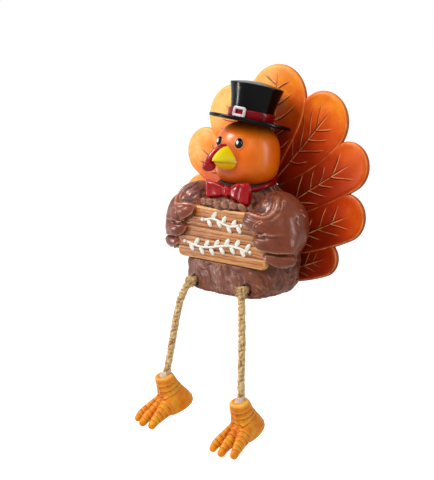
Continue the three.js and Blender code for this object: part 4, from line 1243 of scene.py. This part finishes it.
def board():
    low, high = box_of("sign_board")
    part = fused([cad_form("sign_board")], voxel=0.3, relax=2)
    points = part[0]
    x, y, z = points.T
    front = step_up(-normals_of(part)[:, 1], 0.3, 0.8)
    hollow, edge, depth = np.zeros((3, len(points)))
    # Dark seams between the planks, with a painted highlight on the top lip of the plank below each
    for index, share in enumerate(PLANK_SHARES):
        seam = low[2] + (high[2] - low[2]) * share + 0.35 * noise(points * (1, 0, 0), 11, index)
        groove = bell(z - seam, 0.3 + 0.1 * noise(points * (1, 0, 0), 6, index + 20))
        depth -= 0.5 * groove
        hollow = np.maximum(hollow, 0.95 * groove)
        edge = np.maximum(edge, 0.6 * bell(z - seam + 0.75, 0.3))
    # Carved grain: thin lines that wander, start and stop
    wandering = z + 0.5 * noise(points * (1, 0, 0.4), 9, 51) + 0.2 * noise(points * (1, 0, 0.5), 3, 52)
    line = np.abs((wandering / GRAIN_SPACING + 0.5) % 1 - 0.5) * GRAIN_SPACING
    carved = bell(line, 0.17) * step_up(noise(points, (8.0, 9, 1.6), 53), -0.25, 0.15)
    grain = noise(points, (7.0, 1.0, 0.55), 8, 2)
    hollow = np.maximum.reduce([hollow, 0.4 * step_up(-grain, 0.25, 0.6), 0.75 * carved])
    border = np.minimum.reduce([x - low[0], high[0] - x, z - low[2], high[2] - z])
    # Painted highlights beside the carved lines and round the border
    beside_grain = 0.4 * bell(line - 0.4, 0.15) * (carved < 0.3) * step_up(noise(points, 5, 54), 0, 0.4)
    edge = np.maximum.reduce([edge, beside_grain, bell(border - 0.5, 0.6) * 0.8])
    depth += 0.12 * grain - 0.28 * carved - 0.25 * bell(border, 0.8) * (0.5 + 0.5 * noise(points, 2.5, 12))
    shape_of("sign_board", pushed(part, depth * np.maximum(front, 0.35)), BOARD,
             {"hollow": front * hollow, "edge": edge})


def leaf(x, z, length, lean):
    """A small raised leaf on the board, with its base at a place and its tip along a lean from +x."""
    turn = rotation("y", -lean)
    middle = vector(x, BOARD_FRONT - 0.05, z) + turn @ vector(length / 2, 0, 0)
    return ball(middle, (length / 2, 0.6, length * 0.27), turn, sides=14, levels=8)


def sprig(left, right, height, sway, leaves, leaf_length):
    """A wavy stem with leaves in turn above and below it, and a berry at each end."""
    xs = np.linspace(left, right, STEM_POINTS)
    zs = height + sway * np.sin((xs - left) / (right - left) * 2 * np.pi)
    parts = [tube(np.stack([xs, np.full(STEM_POINTS, BOARD_FRONT - 0.12), zs], 1), STEM_RADIUS)]
    for index in range(leaves):
        share = (index + 0.6) / leaves
        lean = LEAF_LEAN if index % 2 else -LEAF_LEAN
        parts.append(leaf(along(xs, share), along(zs, share), leaf_length, lean))
    for x, z in ((left - BERRY_GAP, zs[0]), (right + BERRY_GAP, zs[-1])):
        parts.append(ball(vector(x, BOARD_FRONT, z), BERRY_HALF_SIZES, sides=14, levels=8))
    return joined(parts)


def board_relief():
    """White raised sprigs in two rows on the board."""
    part = joined([sprig(*row) for row in SPRIGS])
    # Painted shade where the sprigs meet the board
    hollow = 0.5 * step_up(part[0][:, 1] - BOARD_FRONT, -0.25, 0.05)
    add_piece("board_relief", part, "figure", WHITE, marks={"hollow": hollow})


# Head, in its own frame about its middle

HEAD_MIDDLE = vector(0, 0.5, 65.0)
HEAD_RADIUS = 15.6
# Below the middle and above it
HEAD_HALF_HEIGHTS = (15.4, 15.5)
HEAD_POWERS = (3.0, 2.2)
# How far each eye is set from its place on the frame, as a turn about the head's axis
EYE_TURNS = {"left": 0.0, "right": 2.4}
EYE_HALF_SIZES = (1.95, 2.0, 2.5)
EYE_RIM_HALF_SIZES = (2.03, 2.58)
EYE_RIM_RADIUS = 0.16
EYE_RIM_POINTS = 48
# The painted glint on each eye: its place towards the beak and up, and its half sizes
GLINT_PLACE = (-0.5, 0.7)
GLINT_HALF_SIZES = (0.6, 0.8)


def head_radius_at(up):
    """The head's radius at heights above its middle."""
    half = np.where(up < 0, *HEAD_HALF_HEIGHTS)
    power = np.where(up < 0, *HEAD_POWERS)
    return HEAD_RADIUS * np.clip(1 - np.abs(up / half) ** power, 0, 1) ** (1 / power)


def eye_place(side):
    """The middle of an eye, and the direction it looks along."""
    low, high = box_of(f"{side}_eye")
    middle = HEAD_MIDDLE + rotation("z", EYE_TURNS[side]) @ ((low + high) / 2 - HEAD_MIDDLE)
    return middle, unit((middle - HEAD_MIDDLE) * vector(1, 1, 0))


def head():
    profile = []
    for angle in np.linspace(-np.pi / 2, np.pi / 2, 74)[1:-1]:
        above = int(angle >= 0)
        power = 2 / HEAD_POWERS[above]
        profile.append((HEAD_RADIUS * math.cos(angle) ** power,
                        HEAD_HALF_HEIGHTS[above] * bent(np.sin, angle, power)))
    part = lathe(profile, 110)
    points = part[0]
    depth = 0.12 * noise(points, 9, 1)
    beak_gap = np.linalg.norm(points - vector(0, -HEAD_RADIUS, -0.8), axis=1)
    # Painted shade round the beak's root and painted shadow under the hat
    hollow = np.maximum(0.5 * bell(np.maximum(beak_gap - 6.4, 0), 1.6),
                        0.7 * step_up(points[:, 2], 9.5, 14.5))
    for side in SIDES:
        gap = np.linalg.norm(points + HEAD_MIDDLE - eye_place(side)[0], axis=1)
        depth -= 0.2 * bell(gap - 2.8, 0.8)
        # Painted shade round each eye
        hollow = np.maximum(hollow, 0.15 * bell(gap - 2.9, 0.6))
    # Redder on the low cheeks and darker towards the bottom
    blush_and_shade = 0.85 * bell(np.linalg.norm(points - vector(3, -13, -9), axis=1), 9)
    blush_and_shade += 0.4 * step_up(-points[:, 2], 6, 14)
    shape = moved(pushed(part, depth), np.eye(3), HEAD_MIDDLE)
    shape_of("head", shape, HEAD, {"hollow": hollow, "blush_and_shade": blush_and_shade})


def eye(side):
    middle, ahead = eye_place(side)
    up = vector(0, 0, 1)
    across = unit(np.cross(up, ahead))
    turn = np.stack([across, ahead, up], 1)
    dome = ball(middle, EYE_HALF_SIZES, turn, sides=96, levels=64)
    local = (dome[0] - middle) @ turn
    aside = GLINT_PLACE[0] if side == "left" else -GLINT_PLACE[0]
    glint = np.hypot((local[:, 0] - aside) / GLINT_HALF_SIZES[0],
                     (local[:, 2] - GLINT_PLACE[1]) / GLINT_HALF_SIZES[1])
    add_piece(f"{side}_eye_dome", dome, "figure", EYE, [f"{side}_eye"],
              {"glint": (1 - step_up(glint, 0.8, 1.15)) * (local[:, 1] > 0)})
    angle = np.linspace(0, 2 * np.pi, EYE_RIM_POINTS, endpoint=False)
    rim = (middle + np.outer(np.cos(angle) * EYE_RIM_HALF_SIZES[0], across)
           + np.outer(np.sin(angle) * EYE_RIM_HALF_SIZES[1], up))
    outward = rim - HEAD_MIDDLE
    reach = head_radius_at(outward[:, 2]) + 0.02
    rim[:, :2] = HEAD_MIDDLE[:2] + outward[:, :2] * (reach / np.hypot(*outward[:, :2].T))[:, None]
    bar = np.linspace(0, 2 * np.pi, 8, endpoint=False)
    rings = []
    for n, point in enumerate(rim):
        out = unit(np.cross(rim[(n + 1) % EYE_RIM_POINTS] - rim[n - 1], ahead))
        rings.append(point + EYE_RIM_RADIUS * (np.outer(np.cos(bar), out) + np.outer(np.sin(bar), ahead)))
    add_piece(f"{side}_eye_rim", closed_skin(rings), "figure", EYE_RIM)


# Beak: both halves run from the head to one tip, and meet along a line from corner to corner

BEAK_ROOT_Y = -11.5
BEAK_TIP_Y = -24.0
BEAK_TIP_HEIGHT = 63.8
BEAK_CORNER_HEIGHT = 62.2
BEAK_HALF_WIDTH = 6.5
UPPER_BEAK_RISE = 7.3
LOWER_BEAK_DROP = 4.8
LOWER_BEAK_SIZE = 0.95
LOWER_BEAK_REACH_SHARE = 0.88


def beak():
    angle = np.linspace(0, np.pi, 25)
    cosine, sine = np.cos(angle), np.sin(angle)

    def ring(x, share, first, second):
        """One pass over a half of the beak and one back under it."""
        y = np.full(len(x), BEAK_ROOT_Y + (BEAK_TIP_Y - BEAK_ROOT_Y) * share)
        return np.concatenate([np.stack([x, y, first], 1), np.stack([x, y, second], 1)[-2:0:-1]])

    upper, lower = [], []
    for share in 1 - (1 - np.linspace(0, 1, 40)) ** 1.4:
        left = max(1 - share ** 1.55, 0.004)
        x = BEAK_HALF_WIDTH * left ** 0.8 * cosine
        rise = (BEAK_TIP_HEIGHT - BEAK_CORNER_HEIGHT) * share ** 1.5
        line = BEAK_CORNER_HEIGHT + rise + 0.9 * sine ** 2 * left
        top = line + UPPER_BEAK_RISE * left ** 0.72 * (1 - np.abs(cosine) ** 1.8) ** 0.85
        bottom = line - 0.25 - LOWER_BEAK_DROP * left ** 0.6 * sine ** 1.1
        upper.append(ring(x, share, top, line - 0.15))
        lower.append(ring(-LOWER_BEAK_SIZE * x, share * LOWER_BEAK_REACH_SHARE, bottom, line - 0.22))
    for name, rings, paint in (("beak_upper", upper, UPPER_BEAK), ("beak_lower", lower, LOWER_BEAK)):
        part = skin(rings)
        rise = part[0][:, 2] - BEAK_CORNER_HEIGHT
        # Painted shade along the line where the halves meet, and a painted highlight along the top of the
        # upper half
        shape_of(name, part, paint, {"hollow": 0.55 * bell(rise - 0.9, 0.7),
                                     "edge": 0.5 * bell(part[0][:, 0], 0.8) * (rise > 2.4)})


SNOOD_SPINE = [(-0.9, -14.3, 69.5), (-2.5, -16.0, 69.1), (-4.1, -18.0, 67.1), (-5.4, -19.5, 64.2),
               (-5.9, -20.2, 61.4)]
SNOOD_HALF_WIDTHS = [1.7, 1.75, 1.85, 2.3, 2.7]
SNOOD_HALF_HEIGHTS = [1.2, 1.2, 1.25, 1.7, 2.0]
SNOOD_ACROSS = vector(0.55, -0.8, 0)
SNOOD_DROP = ((-5.2, -20.6, 60.4), (3.4, 2.1, 2.3))


def snood():
    strip = limb(SNOOD_SPINE, SNOOD_HALF_WIDTHS, SNOOD_HALF_HEIGHTS, SNOOD_ACROSS,
                 steps=44, sides=28, round_start=True)
    drop = ball(*SNOOD_DROP, rotation("z", 40) @ rotation("y", -8))
    part = fused([strip, drop], voxel=0.3, relax=4)
    shape_of("snood", uneven(part, 0.12, scale=2.2, seed=4, octaves=2), RED)


# Neck band and bow tie

BAND_MIDDLE = vector(0, 0.5, 51.3)
BAND_TILT = 12.3
BAND_RADIUS = 14.0
BAND_BAR_HALF_SIZES = (0.85, 1.15)
BOW_HEIGHT = 48.6
BOW_FRONT = -14.9
BOW_SHIFT = 1.3
KNOT_HALF_SIZES = (2.5, 2.0, 3.0)


def neck_band():
    outline = [(BAND_RADIUS + BAND_BAR_HALF_SIZES[0] * math.cos(a), BAND_BAR_HALF_SIZES[1] * math.sin(a))
               for a in np.linspace(0, 2 * np.pi, 20, endpoint=False)]
    part = uneven(ring_body(outline, 160), 0.07, scale=2.5, seed=5)
    shape_of("neck_band", moved(part, rotation("x", BAND_TILT), BAND_MIDDLE), DARK_RED)


# Each loop from the knot outwards: half heights, how far its front and its back stand out, how boxy it is,
# where it ends, how deep the crease across its middle is, and how much its bevelled outer end falls back
LOOP_SHAPES = {
    "right": ([2.0, 2.8, 3.5, 4.0, 4.2], [1.5, 1.8, 2.0, 2.2, 2.3], [1.1, 1.3, 1.5, 1.6, 1.5],
              0.42, 13.2, 0.0, 0.8),
    "left": ([2.0, 3.9, 4.9, 5.3, 4.9], [1.6, 3.0, 3.3, 2.7, 1.9], [1.1, 1.4, 1.6, 1.7, 1.5],
             0.62, 14.6, 0.7, 0.45),
}
LOOP_START = 1.6
BEVEL_SHARE = 0.8
# Where the loop starts to close, as a share of the way out
CLOSING_SHARE = 0.96


def bow_loop(side, seed):
    """A ribbon loop: it opens from pleats at the knot into a full end with a bevelled rim."""
    hand = 1 if side == "left" else -1
    heights, fronts, backs, roundness, loop_end, crease_depth, bevel_fall = LOOP_SHAPES[side]
    turn = np.linspace(0, 2 * np.pi, 120, endpoint=False)
    cosine, sine = bent(np.cos, turn, roundness), bent(np.sin, turn, roundness)
    facing = np.cos(turn) > 0
    closing_shares = CLOSING_SHARE + (1 - CLOSING_SHARE) * np.sin(np.linspace(0, np.pi / 2, 9)[1:])
    rings, folds = [], []
    for share in [*np.linspace(0, CLOSING_SHARE, 70), *closing_shares]:
        tall = along(heights, share) * (1 - 0.1 * step_up(share, CLOSING_SHARE, 1.0))
        bevel = min(max((share - BEVEL_SHARE) / (0.97 - BEVEL_SHARE), 0.0), 1.0)
        closing = 0.25 + 0.75 * math.sqrt(max(1 - (max(share - CLOSING_SHARE, 0) / 0.0405) ** 2, 0.0))
        # Pleats fan out from the knot, and a slanting crease may part the front in two
        pleats = np.cos(5 * turn + seed) * step_up(0.5 - share, 0, 0.45) * step_up(share, 0, 0.1)
        crease = bell(share - 0.56 - 0.1 * sine, 0.07) * facing
        front = along(fronts, share) * (1 - bevel_fall * bevel) * closing
        reach = np.where(facing, front, along(backs, share) * closing)
        y = cosine * (reach - crease_depth * crease + 0.14 * pleats)
        z = sine * tall * (1 + 0.03 * np.cos(2 * turn + 9 * share))
        run = LOOP_START + (loop_end - LOOP_START) * share - 0.35 * np.abs(sine) * bevel
        rings.append(np.stack([hand * run + BOW_SHIFT * (1 - share), BOW_FRONT + 0.6 - y, BOW_HEIGHT + z], 1))
        # Painted shade in the crease and between the pleats
        folds.append(np.maximum(0.8 * crease * crease_depth, 0.6 * step_up(-pleats, 0.3, 0.9)))
    points, faces = skin(rings)
    if side == "left":
        faces = flipped_faces(faces)
    shape_of(f"bow_{side}_loop", uneven((points, faces), 0.12, scale=3.0, seed=seed), RED,
             {"hollow": 0.55 * np.concatenate([*folds, [0, 0]])})


def bow_knot():
    part = ball(vector(0, 0, 0), KNOT_HALF_SIZES, sides=60, levels=40)
    x, y, z = part[0].T
    around = np.arctan2(x, -y)
    pleat = 0.1 * np.cos(6 * around + z) * np.abs(z) / 2.9 - 0.08 * bell(around - 0.3, 0.16)
    points = part[0] * np.stack([1 + pleat, 1 + pleat, np.ones(len(pleat))], 1)
    shape = moved((points, part[1]), np.eye(3), vector(BOW_SHIFT, BOW_FRONT - 0.1, BOW_HEIGHT))
    # Painted shade between the pleats
    shape_of("bow_knot", shape, RED, {"hollow": 0.6 * step_up(-pleat, 0.02, 0.12)})


# Hat, in its own tilted frame on the middle of its brim

HAT_MIDDLE = vector(0.9, 1.4, 80.0)
HAT_TURN = rotation("x", -12.2) @ rotation("y", 4.4)
BRIM_RADIUS = 19.7
BRIM_THICKNESS = 1.8
BRIM_ROUNDING = 0.7
CROWN_BASE = 0.7
CROWN_HEIGHT = 16.2
CROWN_RADII = (10.0, 13.0)
CROWN_DOME = 1.9
CROWN_ROUNDING = 0.55
HAT_BAND_BASE = 0.9
HAT_BAND_HEIGHT = 4.0
BUCKLE_TURN = 10.0
BUCKLE_HALF_SIZES = vector(2.75, 1.75)
BUCKLE_BAR_HALF_SIZES = (0.72, 0.5)
BUCKLE_HEIGHT = 3.3


def crown_radius(height):
    return CROWN_RADII[0] + (CROWN_RADII[1] - CROWN_RADII[0]) * (height / CROWN_HEIGHT) ** 1.7


def rounded_profile(corners, radius, steps=5):
    """Lathe points through corners that are rounded off. The first and the last stay as they are."""
    made = [corners[0]]
    for before, corner, after in zip(corners, corners[1:], corners[2:]):
        before, corner, after = (vector(*point) for point in (before, corner, after))
        start = corner + unit(before - corner) * radius
        end = corner + unit(after - corner) * radius
        for t in np.linspace(0, 1, steps):
            made.append(tuple((1 - t) ** 2 * start + 2 * t * (1 - t) * corner + t * t * end))
    return made + [corners[-1]]


def hat_shape(node, part, paint, turn=HAT_TURN):
    shape_of(node, moved(part, turn, HAT_MIDDLE), paint)


def hat():
    half, inner = BRIM_THICKNESS / 2, BRIM_RADIUS - BRIM_ROUNDING
    outline = rounded_profile([(0.4, -half), (BRIM_RADIUS, -half), (BRIM_RADIUS, half), (inner, half)],
                              BRIM_ROUNDING)
    outline = outline[:-1] + [(radius, half) for radius in np.linspace(inner, 1, 12)]
    brim = uneven(lathe(outline, 150), 0.07, scale=4, seed=2, octaves=2)
    x, y, z = brim[0].T
    z += 0.25 * noise(brim[0] * (1, 1, 0), 14, 3) * step_up(np.hypot(x, y), 12, 19)
    hat_shape("hat_brim", brim, BLACK)
    top, outer = CROWN_BASE + CROWN_HEIGHT, CROWN_RADII[1]
    wall = [(crown_radius(height), CROWN_BASE + height)
            for height in CROWN_HEIGHT * np.linspace(0, 0.955, 30)]
    dome = [(radius, top + CROWN_DOME * (1 - (radius / outer) ** 2))
            for radius in np.linspace(outer - 1.2, 0.3, 16)]
    rim = rounded_profile([wall[-1], (outer, top), dome[0]], CROWN_ROUNDING)[1:-1]
    crown = lathe([(0.4, CROWN_BASE), *wall, *rim, *dome], 130)
    hat_shape("hat_crown", uneven(crown, 0.1, scale=6, seed=5, octaves=2), BLACK)
    outline = []
    for angle in np.linspace(0, 2 * np.pi, 20, endpoint=False):
        height = HAT_BAND_BASE + HAT_BAND_HEIGHT / 2 * (1 + bent(np.sin, angle, 0.5))
        outline.append((crown_radius(height - CROWN_BASE) + 0.45 + 0.6 * bent(np.cos, angle, 0.5), height))
    band = ring_body(outline, 150)
    hat_shape("hat_band", uneven(band, 0.06, scale=2.5, seed=7, octaves=2), DARK_RED)


def buckle():
    """A square frame with rounded bars, bent round the hat band."""
    corners = BUCKLE_HALF_SIZES * [(-1, -1), (1, -1), (1, 1), (-1, 1)]
    shares = np.linspace(0.06, 0.94, 14)[:, None]
    outline = np.concatenate([start + (end - start) * shares
                              for start, end in zip(corners, np.roll(corners, -1, 0))])
    turn = np.linspace(0, 2 * np.pi, 16, endpoint=False)
    wide = BUCKLE_BAR_HALF_SIZES[0] * bent(np.cos, turn, 0.6)
    deep = BUCKLE_BAR_HALF_SIZES[1] * bent(np.sin, turn, 0.6)
    radius = crown_radius(HAT_BAND_HEIGHT) + 1.45
    rings = []
    for n, (x, z) in enumerate(outline):
        ahead = unit(outline[(n + 1) % len(outline)] - outline[n - 1])
        swing = (x + wide * ahead[1]) / radius
        rings.append(np.stack([(radius + deep) * np.sin(swing), -(radius + deep) * np.cos(swing),
                               BUCKLE_HEIGHT + z - wide * ahead[0]], 1))
    points, faces = closed_skin(rings)
    hat_shape("hat_buckle", (points, flipped_faces(faces)), SILVER, HAT_TURN @ rotation("z", BUCKLE_TURN))


for side_name, hand_sign in zip(SIDES, (1, -1)):
    rope_end(side_name)
    foot(side_name)
    glued_end(side_name)
    wing(side_name)
    bow_loop(side_name, seed_of("bow", side_name))
    for plate_index in range(1, len(PLATES)):
        plate(plate_index, hand_sign)
plate(0, 1)
tail_cover()
body()
board()
board_relief()
head()
for side_name in SIDES:
    eye(side_name)
beak()
snood()
neck_band()
bow_knot()
hat()
buckle()

# Floor, backdrop and light

FLOOR_HEIGHT = -72.5
FLOOR_REACH = 3.0
FLOOR_GLOW = 0.76
ROOM_LEVEL = 0.4
LIT_PLACE = vector(0, 0, 0.03)
# A broad key high at the picture's left, a weak fill, and soft boxes that show in gloss only. Each lamp: how
# far right, ahead and up it stands in the camera's view, its size in metres, its watts, and whether it shows
# in gloss only
LAMPS = {
    "key": ((-0.33, -0.16, 0.33), (0.32, 0.32), 1.9, False),
    "fill": ((0.1, -0.8, 0.35), (0.5, 0.5), 1.65, False),
    "high_box": ((-0.34, -0.06, 0.36), (0.13, 0.13), 2.6, True),
    "left_box": ((-0.44, 0.02, -0.01), (0.07, 0.17), 1.5, True),
    "strip": ((0.43, -0.2, 0.07), (0.08, 0.3), 1.4, True),
}


def pale_floor():
    mesh = bpy.data.meshes.new("floor")
    corners = [(x * FLOOR_REACH, y * FLOOR_REACH, FLOOR_HEIGHT * MM)
               for x, y in ((-1, -1), (1, -1), (1, 1), (-1, 1))]
    mesh.from_pydata(corners, [], [(0, 1, 2, 3)])
    floor = new_object("floor", mesh)
    finish = Finish("floor_paint")
    grey = finish.mix(finish.clouds(40, 2, 0.3, 0.7), (0.7, 0.7, 0.7), (0.74, 0.74, 0.74))
    finish.done(None, grey, 0.9, 0.1)
    strength = finish.times(finish.seen(), FLOOR_GLOW)
    glow = finish.add("ShaderNodeEmission", {"Color": (1, 1, 1), "Strength": strength})
    mixed = finish.add("ShaderNodeAddShader", {0: finish.shader.outputs["BSDF"], 1: glow.outputs["Emission"]})
    finish.link(mixed.outputs["Shader"], finish.tree.nodes["Material Output"].inputs["Surface"])
    mesh.materials.append(finish.material)


def lamp(name, offset, size, watts, only_gloss):
    data = bpy.data.lights.new(name, "AREA")
    data.shape = "RECTANGLE"
    data.size, data.size_y = size
    data.energy = watts
    light = new_object(name, data)
    light.visible_diffuse = not only_gloss
    offset = offset @ np.stack(camera_axes())
    back = unit(offset)
    side = unit(np.cross(vector(0, 0, 1), back))
    light.matrix_world = placed_at(side, np.cross(back, side), back, LIT_PLACE + offset)


def room():
    """Soft white all round, and plain white where a ray from the camera or from gloss meets it."""
    world = bpy.data.worlds.new("room")
    bpy.context.scene.world = world
    world.use_nodes = True
    nodes = Nodes(world.node_tree)
    background = nodes.tree.nodes["Background"].inputs
    nodes.link((1, 1, 1), background["Color"])
    nodes.link(nodes.ranged(nodes.seen(), 0, 1, ROOM_LEVEL, 1.0), background["Strength"])


pale_floor()
for lamp_name, lamp_values in LAMPS.items():
    lamp(lamp_name, *lamp_values)
room()
bpy.context.scene.view_settings.view_transform = "Standard"
